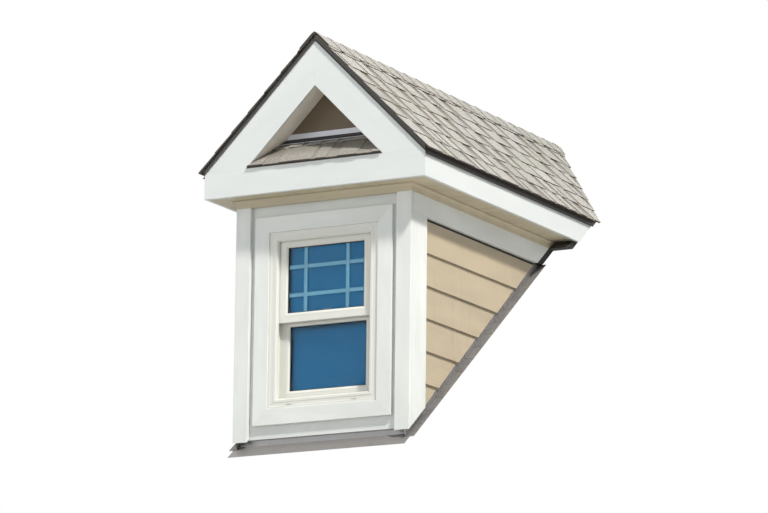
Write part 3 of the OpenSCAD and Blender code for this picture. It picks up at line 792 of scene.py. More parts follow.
DOWN = np.array([np.cos(GABLE_ANGLE), 0, -np.sin(GABLE_ANGLE)])
OUT = np.array([np.sin(GABLE_ANGLE), 0, np.cos(GABLE_ANGLE)])
RIDGE = np.array([0, 0, RIDGE_Z])
RAKE_W = .184
face = rounded([(-RAKE_W, GABLE_Y), (-RAKE_W, RAKE_BACK), (0, RAKE_BACK), (0, GABLE_Y)], .002)
rake = run(face, DOWN, (X, .0001), (Z, EAVE_TOP + .0001), (OUT, Y), RIDGE)
boards("rake_board_right_wrapped", fascia_coat, [(rake, DOWN)], ["rake_board_right"])
boards("rake_board_left_wrapped", fascia_coat,
       [(rake * (-1, 1, 1), DOWN * (-1, 1, 1))], ["rake_board_left"])

# %% [markdown]
# ## Soffits and bed trim
# The soffits keep their grooved solids. The small trim under them is a cove: a flat, a hollow and a lip.
# Its profile is one outline, run along the front and both cheeks with mitred corners. The hollow is a
# quarter of an ellipse.

# %% Soffits and bed trim
for node in ("soffit_front", "side_soffits"):
    dress(node, soffit_paint)
BED_T, BED_H = .014, SOFFIT_Z - box("side_bed_trims")[0, 2]
bend = np.linspace(0, np.pi / 2, 6)
cove = np.stack([.004 + .008 * (1 - np.cos(bend)), .008 + (BED_H - .016) * np.sin(bend)], 1)
outline = np.concatenate([[(0, 0), (.004, 0)], cove, [(BED_T, BED_H - .007), (BED_T, BED_H), (0, BED_H)]])
outline[:, 1] += SOFFIT_Z - BED_H
front_trim = run(outline * (-1, 1), X, mitre(-1, (-HALF_W, 0)), mitre(1, (HALF_W, 0)))
side_trim = run(outline + (HALF_W, 0), Y, mitre(1, (HALF_W, 0)), trim_end)
backing = run(slab((-.0005, SOFFIT_Z - BED_H), (BOARD_T, SOFFIT_Z), .001), X, (X, -corner_x),
              (X, corner_x))
boards("front_bed_moulding", soffit_paint, [(front_trim, X), (backing, X)],
       ["front_bed_trim"])
boards("side_bed_mouldings", soffit_paint, [(mirrored(side_trim), Y)], ["side_bed_trims"])

# %% [markdown]
# ## Lap siding
# Each board laps the one below. Its face leans out towards the butt, which is rolled under, and that
# butt throws the dark line between courses. A stepped sheet shows the courses too, but all equally
# thick, so each board is a solid with a small swell of its own. Each one starts beside the corner board
# and ends along the slope of the seat. The lowest boards are short wedges.

# %% Siding boards
LAP, TOP_COURSE, HEAD_GAP = .178, .192, .013
LAP_T, siding_y = box("siding")[1, 0] - SHEATH_X, side_w + .0015
rows = int(np.ceil((FRIEZE_Z - TOP_COURSE - CLEARANCE) / LAP)) + 1
butts = FRIEZE_Z - TOP_COURSE - LAP * np.arange(rows)
foot_z = siding_y * np.tan(SEAT_ANGLE) + (CLEARANCE + .0005)
print("siding butts at", butts.round(3), "cut off below", foot_z.round(3))
courses = []
for row, butt in enumerate(butts):
    head = FRIEZE_Z - HEAD_GAP if row == 0 else butt + LAP + .012
    swell = rng.uniform(-.0006, .0004)
    lean = [(SHEATH_X, butt + .004), (SHEATH_X + .004, butt + .004), (SHEATH_X + LAP_T - .005, butt),
            (SHEATH_X + LAP_T + swell, butt + .0015), (SHEATH_X + .0045, head), (SHEATH_X, head)]
    outline = rounded(lean, (.0005, .001, .0015, .0028, .0005, .0005), 4)
    outline[:, 1] = np.maximum(outline[:, 1], foot_z)
    if head > foot_z + .01:
        courses.append(run(outline, Y, (Y, siding_y), trim_end))
boards("siding_boards", siding_paint, [(mirrored(courses), Y)], ["siding"])

# %% [markdown]
# ### Dark strip and caulk
# The top board stops short of the frieze, and a near-black strip behind the gap shows as a dark line:
# painted shade under the frieze. A bead of caulk closes the joint beside the corner board. Both are thin
# strips that end where the siding ends.

# %% Painted shade strip and caulk
shade_strip_z = FRIEZE_Z - HEAD_GAP - .006
shade_strip = run([(SHEATH_X, shade_strip_z), (SHEATH_X + .002, shade_strip_z), (SHEATH_X + .002, FRIEZE_Z),
            (SHEATH_X, FRIEZE_Z)], Y, (Y, siding_y), trim_end)
boards("head_shade_strip", black_seal_and_shade, [(mirrored(shade_strip), Y)])
bead = [(SHEATH_X, side_w - .001), (SHEATH_X + .012, side_w - .001), (SHEATH_X + .009, side_w + .003),
        (SHEATH_X, side_w + .006)]
joint = run(rounded(bead, .001), Z, trim_end, (Z, FRIEZE_Z))
boards("siding_caulk", caulk, [(mirrored(joint), Z)])

# %% [markdown]
# ## Casing, frame and sashes
# A window is rings inside rings: casing, frame, sash, bead, glass. A square curve with a profile could
# make each ring, but its bars would all be equally wide, and its corners would have no joint. So one
# function makes them all. It takes a profile of depth against distance inwards, and sets every profile
# point on a rectangle that lies so far in. Each side is its own bar with mitred ends, so that the weld of
# a vinyl corner shows as a hairline.

# %% Rings of mitred bars
def mitred_ring(profile, outer, inner=None, joint=.0002):
    """Four bars around a rectangle. A profile point (d, y) lies d inside the outer rectangle. Past the
    middle of the profile it keeps its distance from the inner rectangle, so sides may differ in width.
    Rectangles are (x0, z0, x1, z1)."""
    profile = np.array(profile, float)
    depth, span = profile[:, 0], profile[:, 0].max()
    signs = np.array([(1, 1), (-1, 1), (-1, -1), (1, -1)])

    def corners(rect):
        """The four corners of a rectangle, from the lower left and round over the lower right."""
        x0, z0, x1, z1 = rect
        return np.array([(x0, z0), (x1, z0), (x1, z1), (x0, z1)])

    near = corners(outer)[:, None] + depth[None, :, None] * signs[:, None]
    if inner is not None:
        far = corners(inner)[:, None] - (span - depth)[None, :, None] * signs[:, None]
        near = np.where((depth > span / 2)[None, :, None], far, near)
    ends = np.roll(near, -1, 0)
    side = (ends - near) / np.linalg.norm(ends - near, axis=2, keepdims=True)
    loops = np.stack([near + side * joint, ends - side * joint], 1)
    y = np.broadcast_to(profile[:, 1], loops.shape[:3])
    return np.stack([loops[..., 0], y, loops[..., 1]], -1)


def ring_boards(name, material, rings, replaced=()):
    """Mitred rings as boards, with the tag's first coordinate along X for rails and Z for stiles."""
    groups = []
    for loops in rings:
        groups += [(loops[[0, 2]], X), (loops[[1, 3]], Z)]
    boards(name, material, groups, replaced)


casing_low, casing_high = box("window_casing")
around = (casing_low[0], casing_low[2], casing_high[0], casing_high[2])
face_y = casing_low[1]
casing = slab((0, face_y), (BOARD_W, BOARD_T), (.003, .003, .0005, .0005), 4)
ring_boards("window_casing_boards", trim_paint, [mitred_ring(casing, around, joint=.00015)],
            ["window_casing"])

# %% [markdown]
# ### Frame
# The frame's profile has a splayed lip in front, a track for each sash, and a bead between the tracks. Its
# edges are as soft as an extruder leaves them. Two small covers hide the weep holes in the foot.

# %% Frame
frame_low, frame_high = box("window_frame")
unit = (frame_low[0], frame_low[2], frame_high[0], frame_high[2])
upper_low, upper_high = box("upper_sash")
lower_low, lower_high = box("lower_sash")
y0, y_end = frame_low[1], frame_high[1]
LIP, TRACK, SPLAY = .052, .042, .008
outline = [(0, y0), (.012, y0), (.014, y0 + .0015), (.030, y0 + .0015), (.032, y0), (LIP - SPLAY, y0),
           (LIP, y0 + SPLAY), (LIP, upper_low[1] - .001), (TRACK, upper_low[1] - .001),
           (TRACK, upper_high[1] + .0005), (LIP, upper_high[1] + .0005), (LIP, lower_low[1] - .0005),
           (TRACK, lower_low[1] - .0005), (TRACK, lower_high[1] + .0005), (LIP, lower_high[1] + .0005),
           (LIP, y_end), (0, y_end)]
profile = rounded(outline, [.001] * 7 + [.0002] * 6 + [.001] * 4, 3)
ring_boards("window_frame_bars", vinyl, [mitred_ring(profile, unit)], ["window_frame"])
low = unit[1] + .018
covers = [run(slab((x - .016, low), (x + .016, low + .008), .0035, 5), Y, (Y, y0 - .0022),
              (Y, y0 + .002), (X, Z)) for x in (-.2, .2)]
boards("weep_covers", vinyl, [(covers, Y)])

# %% [markdown]
# Each sash's face is flat, then a hairline where the glazing bead clips in, then the bead, which slopes in
# to the glass. A black gasket shows between bead and pane. The sashes' bars differ in width: the
# meeting rails are narrow, and the lower rail is wide.

# %% Sashes and gaskets
UPPER_FOOT, UPPER_HEAD, LOWER_FOOT, GASKET = .052, .044, .057, .0025
GLASS_X = box("window_glass")[1, 0] - REBATE
UPPER_GLASS = (-GLASS_X, upper_low[2] + UPPER_FOOT, GLASS_X, upper_high[2] - UPPER_HEAD)
LOWER_GLASS = (-GLASS_X, lower_low[2] + LOWER_FOOT, GLASS_X, lower_high[2] - MEETING_RAIL)


def sash_bars(low, high, glass):
    """Outline of a sash's bar, and of the gasket inside it, as rings between sash edge and glass."""
    y, back, w = low[1], high[1], .058
    bar = [(0, y), (w - .019, y), (w - .0185, y + .0009), (w - .0175, y + .0009), (w - .017, y + .0002),
           (w - .010, y + .0006), (w - .0015, y + SPLAY - .001), (w, y + SPLAY + .001), (w, y + .012),
           (w, back - .004), (w - .004, back), (0, back)]
    soft = rounded(bar, (.0008, .0003, .0002, .0002, .0003, .0015, .0006, .0004, .0004, .0008, .0008,
                         .0008), 3)
    outer = (low[0] + .0008, low[2], high[0] - .0008, high[2])
    seal = [(.0001, y + SPLAY + .0005), (GASKET, y + SPLAY + .0022), (GASKET, y + .0109),
            (.0001, y + .0109)]
    return mitred_ring(soft, outer, glass), mitred_ring(rounded(seal, .0005), glass, joint=.0001)


upper_bars, upper_seal = sash_bars(upper_low, upper_high, UPPER_GLASS)
lower_bars, lower_seal = sash_bars(lower_low, lower_high, LOWER_GLASS)
ring_boards("upper_sash_bars", vinyl, [upper_bars], ["upper_sash"])
ring_boards("lower_sash_bars", vinyl, [lower_bars], ["lower_sash"])
ring_boards("glazing_gaskets", black_seal_and_shade, [upper_seal, lower_seal])

# %% [markdown]
# ### Panes
# The panes are 3 mm glass with smoothed edges, held apart by a metal spacer. A flat plane would do for
# the view, but glass bends light only between a front and a back, so each pane is a thin solid. The depth
# of a pane is that of its front face, measured from the front of its sash.

# %% Panes and spacers
PANE_T, OUTER_PANE, INNER_PANE = .003, .011, .024
BETWEEN = (OUTER_PANE + PANE_T + INNER_PANE) / 2


def pane_edge(glass):
    """The rectangle of a pane, which stands REBATE deep in its sash on every side of its glass."""
    return np.array(glass) + np.array([-1, -1, 1, 1]) * REBATE


def pane(glass, y):
    """One pane with a small chamfer round each face, lofted through its thickness."""
    x0, z0, x1, z1 = pane_edge(glass)
    loops = []
    for at, inset in ((y, .0006), (y + .0005, 0), (y + PANE_T - .0005, 0), (y + PANE_T, .0006)):
        outline = slab((x0 + inset, z0 + inset), (x1 - inset, z1 - inset), .002)
        loops.append([(x, at, z) for x, z in outline])
    return np.array(loops)


sets = ((upper_low[1], UPPER_GLASS), (lower_low[1], LOWER_GLASS))
outer = [pane(glass, y + OUTER_PANE) for y, glass in sets]
inner = [pane(glass, y + INNER_PANE) for y, glass in sets]
boards("outer_panes", clear_glass, [(outer, X)], ["window_glass"])
boards("inner_panes", blue_glass, [(inner, X)])
spacers = []
for y, glass in sets:
    front, back = y + OUTER_PANE + PANE_T + .0002, y + INNER_PANE - .0002
    bar = rounded([(.001, front), (REBATE + .003, front), (REBATE + .004, y + BETWEEN),
                   (REBATE + .003, back), (.001, back)], .0006)
    spacers.append(mitred_ring(bar, pane_edge(glass), joint=.0001))
ring_boards("pane_spacers", spacer_metal, spacers)

# %% [markdown]
# ### Bars between the panes
# The upper sash has two upright and two level bars near its edges, which leaves one large middle light.
# They lie between the panes, so they are slim and soft-edged. Where they cross, the level bars are cut
# and stop at the upright ones, so all lie in one plane and none passes through another.

# %% Bars
BAR_W, BAR_T, BAR_END = .021, .0055, .003
FROM_SIDE, FROM_FOOT, FROM_HEAD = .104, .098, .107
mid_y = upper_low[1] + BETWEEN
x0, z0, x1, z1 = UPPER_GLASS
section = slab((-BAR_W / 2, -BAR_T / 2), (BAR_W / 2, BAR_T / 2), .002, 4)
uprights = [run(section, Z, (Z, z0 - BAR_END), (Z, z1 + BAR_END), (X, Y), (x, mid_y, 0))
            for x in (x0 + FROM_SIDE, x1 - FROM_SIDE)]
stops = ((x0 - BAR_END, x0 + FROM_SIDE - BAR_W / 2),
         (x0 + FROM_SIDE + BAR_W / 2, x1 - FROM_SIDE - BAR_W / 2),
         (x1 - FROM_SIDE + BAR_W / 2, x1 + BAR_END))
levels = [run(section, X, (X, a), (X, b), (Z, Y), (0, mid_y, z))
          for z in (z0 + FROM_FOOT, z1 - FROM_HEAD) for a, b in stops]
boards("pane_bars", bars_paint_and_sky, [(uprights, Z), (levels, X)])

# %% [markdown]
# ### Lock and lift
# On the room side, a cam lock sits on the meeting rail, its keeper on the upper sash, and a lift rail runs
# along the foot of the lower sash. The lock's body is a round boss lofted upwards through circles whose
# radius follows a quarter of a cosine, and its lever is a short rounded bar. All of it is on the room
# side, so these few small lofts are enough.

# %% Lock, keeper and lift rail
BOSS_R, BOSS_H, SUNK = .011, .012, .0002
top_z, rail_y = lower_high[2], (lower_low[1] + lower_high[1]) / 2
turn = np.linspace(0, 2 * np.pi, 24, endpoint=False)
boss = []
for rise in np.linspace(0, 1, 7):
    radius = BOSS_R * np.cos(rise * 1.45)
    boss.append(np.stack([radius * np.cos(turn), rail_y + radius * np.sin(turn),
                          np.full(24, top_z + .004 + BOSS_H * rise)], 1))
base = run(slab((-.030, rail_y - .011), (.030, rail_y + .011), .008, 5), Z, (Z, top_z - SUNK),
           (Z, top_z + .005))
lever = run(rounded([(-.004, rail_y - .004), (.030, rail_y - .003), (.034, rail_y + .001),
                     (.030, rail_y + .004), (-.004, rail_y + .005)], .0015), Z, (Z, top_z + .008),
            (Z, top_z + .0125))
keeper = run(slab((-.022, upper_high[1] - .010), (.022, upper_high[1] + SUNK), .002), Z,
             (Z, UPPER_GLASS[1] - .0003), (Z, UPPER_GLASS[1] + .009))
boards("sash_lock", lock_metal, [(boss, Z), (base, Z), (lever, Z), (keeper, Z)])
lift_y, lift_z = lower_high[1], lower_low[2] + .030
lift = rounded([(lift_y - .0005, lift_z), (lift_y + .008, lift_z - .004), (lift_y + .010, lift_z),
                (lift_y + .009, lift_z + .003), (lift_y - .0005, lift_z + .006)], .001)
boards("lift_rail", vinyl, [(run(lift, X, (X, -.2), (X, .2)), X)])

# %% [markdown]
# ## Shingles
# A laminated shingle is a strip with tabs of random width glued on, so a course has two levels. Along
# every course, strips a metre long come first, and then tabs and gaps drawn at random. A tab is a loft of
# two loops: its butt edge is thick and square, it thins up the slope, and its sides spread a little. Each
# point is placed by distance along the eave, distance down the slope, and height above the deck. A
# pattern on a flat plane could stand for all this, but only solid butts cast the thin shadows that show
# the courses.

# %% Strips and tabs of one field
EXPOSURE, STRIP_L = .143, 1.0
TAB_WIDTHS, TAB_GAPS = (.07, .105, .14, .185), (.035, .07, .1)


def strip_loops(a0, a1, butt, up, low, high, top, spread):
    """Two loops per strip or tab in (along, down slope, height). The outline from the butt: foot, face,
    softened edge, top surface to the upper end, and back. Sides spread upwards."""
    low, high, top = np.broadcast_arrays(low, high, top)
    down = np.stack([butt, butt, butt - .0015, up, up], -1)
    height = np.stack([low, high - .0012, high, top, low], -1)
    rise = (butt[:, None] - down) / (butt - up)[:, None]
    left, right = a0[:, None] - spread * rise, a1[:, None] + spread * rise
    return np.stack([np.stack([left, down, height], -1), np.stack([right, down, height], -1)], 1)


def courses_of(length, butts, floor):
    """All strips and tabs of one roof side: their loops and tags. length(down) is how far a course
    runs, butts are its distances down the slope, and floor is the height of the deck. Each layer has
    its height at the butt and at the upper end, its lap under the next course, and its spread."""
    strips, tabs = [], []
    for row, butt in enumerate(butts):
        end = length(butt - EXPOSURE - .02) + .01
        at = -((row * .37) % 1.0)
        while at < end:
            strips.append((max(at, 0) + .0004, min(at + STRIP_L - .001, end),
                           butt + rng.uniform(-.0008, .0008)))
            at += STRIP_L
        at = -rng.uniform(.0, .06)
        while at < end:
            wide = rng.choice(TAB_WIDTHS) + rng.uniform(-.015, .015)
            tabs.append((max(at, rng.uniform(-.001, .001)), min(at + wide, end),
                         butt + rng.uniform(-.0012, .0006)))
            at += wide + rng.choice(TAB_GAPS) + rng.uniform(-.01, .01)
    loops, tags = [], []
    for kind, (rows, high, top, lap, spread) in enumerate(((strips, .0055, .0018, .018, .0),
                                                           (tabs, .0098, .0050, .008, .006))):
        a0, a1, butt = np.array(rows).T
        sag = rng.uniform(-.0006, .0, len(rows))
        made = strip_loops(a0, a1, butt, butt - EXPOSURE - lap, floor, floor + high + sag, floor + top,
                           spread)
        tone = rng.uniform(0, 1, len(rows))
        rise = (butt[:, None, None] - made[..., 1]) / EXPOSURE
        tags.append(np.stack([np.broadcast_to(tone[:, None, None], rise.shape),
                              np.full_like(rise, kind), rise], -1))
        loops.append(made)
    return np.concatenate(loops), np.concatenate(tags)


print("mean tab", np.mean(TAB_WIDTHS).round(3), "m wide, mean gap", np.mean(TAB_GAPS).round(3), "m")

# %% [markdown]
# ### The two slopes
# Both sides are laid the same way and the left one is mirrored, with random numbers of its own. The
# courses run on until they meet the seat, where real ones are cut with a knife. Here every point that
# lies past the seat is moved forward onto it, which gives the same clean line.

# %% The two slopes
DECK_T, OVER = .016, .015


def lay(name, loops, tags, replaced):
    """Makes a shingle object from placed loops, and keeps each solid's tag with its points."""
    points, faces, turned = loft(loops)
    tags[turned] = tags[turned, :, ::-1]
    piece(name, granules, [(points, faces)], replaced, tags.reshape(-1, 3))


def seat_y(z):
    """How far back a point at height z can go before it meets the seat."""
    return z / np.tan(SEAT_ANGLE)


def cut_by_seat(loops):
    """The loops with every point past the seat moved forward onto it, and for each solid whether it
    reached more than 3 mm in front of it, so that a solid flattened to nothing can be left out."""
    limit = seat_y(loops[..., 2])
    kept = (loops[..., 1] < limit - .003).any((1, 2))
    loops[..., 1] = np.minimum(loops[..., 1], limit)
    return loops, kept


FRONT, TOP_Z = GABLE_Y - OVER, RIDGE_Z + .04
SLOPE_L = (EAVE_X + OVER) / np.cos(GABLE_ANGLE)
slope_butts = SLOPE_L - EXPOSURE * np.arange(int(np.ceil(SLOPE_L / EXPOSURE)))
for side, name in ((1, "right"), (-1, "left")):
    loops, tags = courses_of(lambda down: seat_y(TOP_Z - down * np.sin(GABLE_ANGLE)) - FRONT,
                             slope_butts, DECK_T)
    loops[..., 1] = np.maximum(loops[..., 1], .001)
    placed = RIDGE + loops[..., 1:2] * DOWN + loops[..., 2:3] * OUT
    placed[..., 1] = FRONT + np.maximum(loops[..., 0], 0)
    placed, kept = cut_by_seat(placed)
    placed[..., 0] = np.maximum(placed[..., 0], .0002)
    lay("shingles_laid_" + name, placed[kept] * (side, 1, 1), tags[kept], ["shingles_" + name])

# %% [markdown]
# ### Return roof
# The small return roof has a course and a half of the same shingles. Its slope starts at the top of the
# front fascia, and its ends stop at the lower edges of the rake boards. Its two layers get nearly the same
# tag, so all of it takes the lower layer's darker colour and printed band: painted shade, which makes it
# darker and more even than the two large slopes. A bent dark sheet edges its foot.

# %% Return roof
RETURN_ANGLE = np.radians(45)
panel_y = box("gable_panel")[0, 1]
UP = np.array([0, np.cos(RETURN_ANGLE), np.sin(RETURN_ANGLE)])
LIFT = np.array([0, -np.sin(RETURN_ANGLE), np.cos(RETURN_ANGLE)])
foot = np.array([0, GABLE_Y, EAVE_TOP])
half = box("return_shingles")[1, 0]


def between_rakes(z):
    """Half the width that the rake boards leave between them at height z."""
    return (RIDGE_Z - RAKE_W / np.cos(GABLE_ANGLE) - z) / np.tan(GABLE_ANGLE)


loops, tags = courses_of(lambda down: 2 * half + .02, np.array([.002, .002 - EXPOSURE]), .009)
behind = (panel_y - .002 - GABLE_Y + loops[..., 2] * np.sin(RETURN_ANGLE)) / np.cos(RETURN_ANGLE)
loops[..., 1] = np.maximum(loops[..., 1], -behind)
placed = foot - loops[..., 1:2] * UP + loops[..., 2:3] * LIFT
placed[..., 0] = np.clip(loops[..., 0] - half, -half, half)
inside = between_rakes(placed[..., 2])
placed[..., 0] = np.clip(placed[..., 0], -inside, inside)
kept = (placed[:, 1, :, 0] - placed[:, 0, :, 0]).max(1) > .004
# Painted shade: nearly every part takes the lower layer's darker colour and band.
tags[..., 1] = .40 + .04 * tags[..., 1]
lay("return_shingles_laid", placed[kept], tags[kept], ["return_shingles"])
edge = np.array([(GABLE_Y - .0001, .0002), (GABLE_Y - .0013, .0002), (GABLE_Y - .0013, .0125),
                 (GABLE_Y - .0001, .0125)]) + (0, EAVE_TOP)
drip = np.stack([np.column_stack([side * between_rakes(edge[:, 1]), edge]) for side in (-1, 1)])
boards("return_drip_bent", dark_sheet, [(drip, X)])

# %% [markdown]
# ## Ridge caps
# Single shingles are folded over the ridge, each lapping the one in front. Across the ridge, the height
# falls as the root of x squared plus a small square, which is a fold with a soft crown. Along the ridge,
# each cap rises from its back end to a thick front edge. One long folded strip would be simpler, but the
# steps from cap to cap show against the light.

# %% Folded caps
CROWN, LEG = .009, box("ridge_cap")[1, 0]
span = np.linspace(-LEG, LEG, 15)
fold = np.sqrt(span ** 2 + CROWN ** 2)
count = int(np.ceil((seat_y(TOP_Z) - FRONT) / EXPOSURE))
stations = ((0, .0300, .0262), (.0015, .0318, .0262), (EXPOSURE, .0292, .0255),
            (EXPOSURE + .03, .0284, .0250))
caps = np.zeros((count, len(stations), 2 * len(span), 3))
starts = FRONT + EXPOSURE * np.arange(count) + rng.uniform(-.002, .002, count)
starts[0] = FRONT
for row, (back, top, under) in enumerate(stations):
    x = np.concatenate([span, span[::-1]])
    height = np.concatenate([np.full(len(span), top), np.full(len(span), under)])
    z = RIDGE_Z - np.concatenate([fold, fold[::-1]]) * np.tan(GABLE_ANGLE) + height / np.cos(GABLE_ANGLE)
    caps[:, row] = np.stack([x, np.zeros_like(x), z], -1)
    caps[:, row, :, 1] = starts[:, None] + back
caps, kept = cut_by_seat(caps)
tags = np.zeros_like(caps)
tags[..., 0], tags[..., 1] = rng.uniform(0, 1, count)[:, None, None], 1
tags[..., 2] = (caps[..., 1] - starts[:, None, None]) / EXPOSURE
lay("ridge_caps_folded", caps[kept], tags[kept], ["ridge_cap"])

# %% [markdown]
# ## Bent metal
# A drip edge is thin sheet bent over the edge of the deck. What shows is a face down the fascia and a kick
# at the foot that throws water clear, and the flange hidden under the shingles is left out. A plane with
# Solidify could stand for bent sheet, but a loft of its section also carries the mitre at the corner.

# %% Drip edges
deck_edge = EAVE_TOP + DECK_T / np.cos(GABLE_ANGLE)
eave_line = [(EAVE_X + .0002, EAVE_TOP - .022), (EAVE_X + .0065, EAVE_TOP - .030),
             (EAVE_X + .0075, EAVE_TOP - .029), (EAVE_X + .0014, EAVE_TOP - .0215),
             (EAVE_X + .0014, deck_edge), (EAVE_X + .0002, deck_edge)]
eave_drip = run(eave_line, Y, mitre(1, (EAVE_X, GABLE_Y - .0014)), above_seat(0))
boards("eave_drips_bent", dark_sheet, [(mirrored(eave_drip), Y)], ["eave_drip_edges"])

rake_line = np.array([(DECK_T - .0001, GABLE_Y - .0002), (DECK_T - .0001, GABLE_Y - .0016),
                      (-.0035, GABLE_Y - .0016), (-.0085, GABLE_Y - .0070), (-.0092, GABLE_Y - .0062),
                      (-.0043, GABLE_Y - .0002)])
stations = []
for x in (-EAVE_X - .0014, 0, EAVE_X + .0014):
    z = RIDGE_Z - abs(x) * np.tan(GABLE_ANGLE) + rake_line[:, 0] / np.cos(GABLE_ANGLE)
    stations.append(np.stack([np.full(len(z), x), rake_line[:, 1], z], 1))
boards("rake_drip_bent", dark_sheet, [(np.array(stations), X)], ["rake_drip_edge"])

# %% [markdown]
# ### Flashings
# The flashings at the foot of the walls are bent once. Across the front and over the return roof they are
# one long piece each. Along each cheek they come as short pieces that climb the slope, each lapping the
# one below, so these are lofted in a loop, with their lower ends lifted by the lap.

# %% Flashings
eased_copy("gable_flashing_bent", "gable_flashing", bright_sheet, .0006)
eased_copy("apron_flashing_bent", "apron_flashing", grey_sheet, .0006)
SLOPE = np.array([0, np.cos(SEAT_ANGLE), np.sin(SEAT_ANGLE)])
STEP_L, STEP_LIFT, leg_x = .200, .0014, box("step_flashings")[1, 0]
angle_line = [(leg_x, .0012), (leg_x, .0002), (SHEATH_X + .0001, .0002), (SHEATH_X + .0001, TRIM_OFF),
              (SHEATH_X + .0012, TRIM_OFF), (SHEATH_X + .0012, .0012)]
foot_s, last_s = .012, FRIEZE_Z / np.sin(SEAT_ANGLE) - .001
steps = []
for s in np.arange(foot_s, last_s - .05, EXPOSURE):
    lower, upper = run(angle_line, SLOPE, (SLOPE, s), (SLOPE, min(s + STEP_L, last_s)), (X, SEAT_NORMAL))
    steps.append([lower + (SEAT_NORMAL + X) * STEP_LIFT, upper])
boards("step_flashings_bent", grey_sheet, [(mirrored(steps), SLOPE)],
       ["step_flashings"])

# %% [markdown]
# ## Nails
# Trim is face-nailed in pairs, and the heads stay visible under the paint as low domes. One dome is a
# loft of rings whose height follows a cosine. It could be an instanced object, but then each nail would
# be a piece of its own, so it is copied to every place in one array instead.

# %% Nail heads
def domes(places, normal, radius=.0028, height=.0008):
    """Low domes at the places, facing along the normal: rings whose radius is radius times the sine and
    height times the cosine of an angle that falls from a right angle to near zero."""
    u = np.cross(normal, Z if abs(normal[2]) < .9 else X)
    u = u / np.linalg.norm(u)
    v = np.cross(normal, u)
    spin = np.linspace(0, 2 * np.pi, 10, endpoint=False)
    rows = []
    for angle, sink in ((1.57, .0012), (1.57, 0), (1.1, 0), (.6, 0), (.15, 0)):
        ring = radius * np.sin(angle) * (np.cos(spin)[:, None] * u + np.sin(spin)[:, None] * v)
        rows.append(ring + normal * (height * np.cos(angle) - sink))
    return np.array(places)[:, None, None] + np.array(rows)[None]


front_heads = [(s * x, 0.0, z) for s in (-1, 1) for z in np.arange(.20, SOFFIT_Z - .05, .30)
               for x in (corner_x + .02, HALF_W - .02)]
case_foot, case_head = around[1], around[3]
front_heads += [(s * (casing_high[0] - d), face_y, z) for s in (-1, 1) for d in (.02, .07)
                for z in np.arange(case_foot + .12, case_head - .05, .29)]
front_heads += [(x, face_y, z) for x in (-.2, 0, .2)
                for z in (case_foot + .02, case_foot + .07, case_head - .07, case_head - .02)]
sheet_heads = [(x, GABLE_Y, SOFFIT_Z + h) for x in (-.6, -.35, -.1, .15, .4, .62) for h in (.025, .115)]
rake_heads = [tuple(RIDGE + DOWN * s * (side, 1, 1) + OUT * h * (side, 1, 1) + Y * GABLE_Y)
              for side in (-1, 1) for s in (.2, .42, .64, .82) for h in (-.03, -.155)]
side_heads = [(HALF_W, y, z) for y in (.045, .165) for z in np.arange(.33, FRIEZE_Z - .03, .28)
              if z > y / 1.2 + .1]
side_heads += [(HALF_W, y, z) for y in np.arange(.12, 1.4, .4) for z in (FRIEZE_Z + .02, SOFFIT_Z - .05)]
boards("trim_nail_heads", trim_paint,
       [(domes(front_heads, -Y), Y), (mirrored(domes(side_heads, X)), X)])
boards("sheet_nail_heads", fascia_coat, [(domes(sheet_heads + rake_heads, -Y, .0022), Y)])

# %% [markdown]
# ## Stage and light
# A dormer is seen from below, and so the camera looks up. The floor is a pale plane at the lowest point.
# Its material is clear on the underside, which lets the low camera see past it, and it pales into white
# far away, so that its edge doesn't show.

# %% Floor
low_corner, high_corner = (np.array(list(corner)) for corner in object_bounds())
floor_z = low_corner[2] - .001
floor_mesh = bpy.data.meshes.new("floor")
reach = 60.0
floor_mesh.from_pydata([(-reach, -reach, floor_z), (reach, -reach, floor_z), (reach, reach, floor_z),
                        (-reach, reach, floor_z)], [], [(0, 1, 2, 3)])
floor = bpy.data.objects.new("floor", floor_mesh)
bpy.context.scene.collection.objects.link(floor)
floor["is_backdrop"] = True


def looked_at(tree):
    """One for rays from the camera, in gloss and through glass, and zero for light on a surface."""
    rays = add(tree, "LightPath").outputs
    seen = sums(tree, "MAXIMUM", rays["Is Camera Ray"], rays["Is Glossy Ray"])
    return sums(tree, "MAXIMUM", seen, rays["Is Transmission Ray"])


floor_paint, tree, shader = material("floor_paint")
seen = looked_at(tree)
tree.links.new(blend(tree, seen, (.42, .42, .41, 1), (.86, .86, .85, 1)), shader.inputs["Base Color"])
shader.inputs["Roughness"].default_value = .9
far_off = add(tree, "VectorMath", {0: place_of(tree)}, operation="LENGTH")
haze = sums(tree, "MULTIPLY", fade(tree, far_off.outputs["Value"], 3, 8), seen)
white = add(tree, "Emission", {"Color": (1, 1, 1, 1)})
paled = add(tree, "MixShader", {0: haze, 1: shader.outputs[0], 2: white.outputs[0]})
clear = add(tree, "BsdfTransparent")
facing = add(tree, "MixShader", {0: add(tree, "NewGeometry").outputs["Backfacing"],
                                 1: paled.outputs[0], 2: clear.outputs[0]})
tree.links.new(facing.outputs[0], tree.nodes["Material Output"].inputs["Surface"])
floor_mesh.materials.append(floor_paint)
print("floor at", floor_z.round(4))

# %% [markdown]
# ### World and lamps
# The world is a dim, nearly even light for surfaces and a plain white for the camera, for gloss and for
# glass. An image wrapped around would light it too, but would also show in the panes. A strong lamp far
# off, high on the right, throws the shadows. Two wide dim ones, low at the front left and behind,
# brighten the sides that it leaves dark.

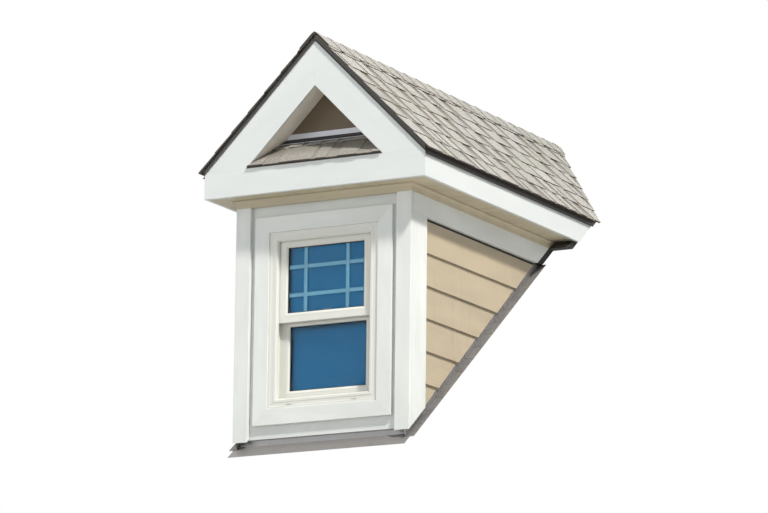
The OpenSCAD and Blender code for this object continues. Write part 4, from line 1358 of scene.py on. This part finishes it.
# %% World
world = bpy.data.worlds.new("studio")
world.use_nodes = True
bpy.context.scene.world = world
tree = world.node_tree
tree.nodes.clear()
aloft = split(tree, add(tree, "TexCoord").outputs["Generated"])["Z"]
ambient = blend(tree, fade(tree, aloft, -.5, .5), (.275, .275, .265, 1), (.30, .315, .33, 1))
shown = blend(tree, looked_at(tree), ambient, (1, 1, 1, 1))
backdrop = add(tree, "Background", {"Color": shown, "Strength": 1.0})
add(tree, "OutputWorld", {"Surface": backdrop.outputs[0]})

# %% Lamps
centre = (low_corner + high_corner) / 2


def lamp(name, azimuth, elevation, distance, size, power, colour):
    """A square soft lamp aimed at the middle of the object."""
    data = bpy.data.lights.new(name, "AREA")
    data.size, data.energy, data.color = size, power, colour
    made = bpy.data.objects.new(name, data)
    a, e = np.radians((azimuth, elevation))
    back = np.array([np.sin(a) * np.cos(e), -np.cos(a) * np.cos(e), np.sin(e)])
    made.location = centre + back * distance
    made.rotation_mode = "QUATERNION"
    made.rotation_quaternion = Vector(-back).to_track_quat("-Z", "Y")
    bpy.context.scene.collection.objects.link(made)


lamp("key_lamp", 57, 50, 20.0, 1.4, 5150, (1, .98, .95))
lamp("fill_lamp", -36, 15, 9.0, 5.0, 148, (.96, .98, 1))
lamp("back_lamp", 185, 8, 9.0, 5.0, 260, (1, .99, .97))
print("lamps:", {data.name: data.energy for data in bpy.data.lights})

# %% [markdown]
# ## Camera
# The view is from below: about 29 degrees to the right of the front and 12 degrees under it, from 26
# metres away. A nearer camera would show the dormer as large, but its edges would converge more. A long
# lens brings it close without changing that.

# %% Camera
eye = Vector((12.230, -21.587, -4.286))
aim = Vector((.13, .45, 1.10))
roll = np.radians(.66)
camera_data = bpy.data.cameras.new("far_camera")
camera_data.lens, camera_data.sensor_width = 222, 36
camera_data.clip_start, camera_data.clip_end = .1, 500
camera = bpy.data.objects.new("far_camera", camera_data)
turned = (aim - eye).to_track_quat("-Z", "Y").to_matrix() @ Matrix.Rotation(roll, 3, "Z")
camera.location = eye
camera.rotation_mode = "QUATERNION"
camera.rotation_quaternion = turned.to_quaternion()
bpy.context.scene.collection.objects.link(camera)
bpy.context.scene.camera = camera
bpy.context.scene.view_settings.view_transform = "Standard"
print("camera", round((aim - eye).length, 2), "m away")

# %% Sizes and the last line
dressed_box = [list(corner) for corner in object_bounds()]
print("dressed model from", np.round(dressed_box[0], 3), "to", np.round(dressed_box[1], 3))
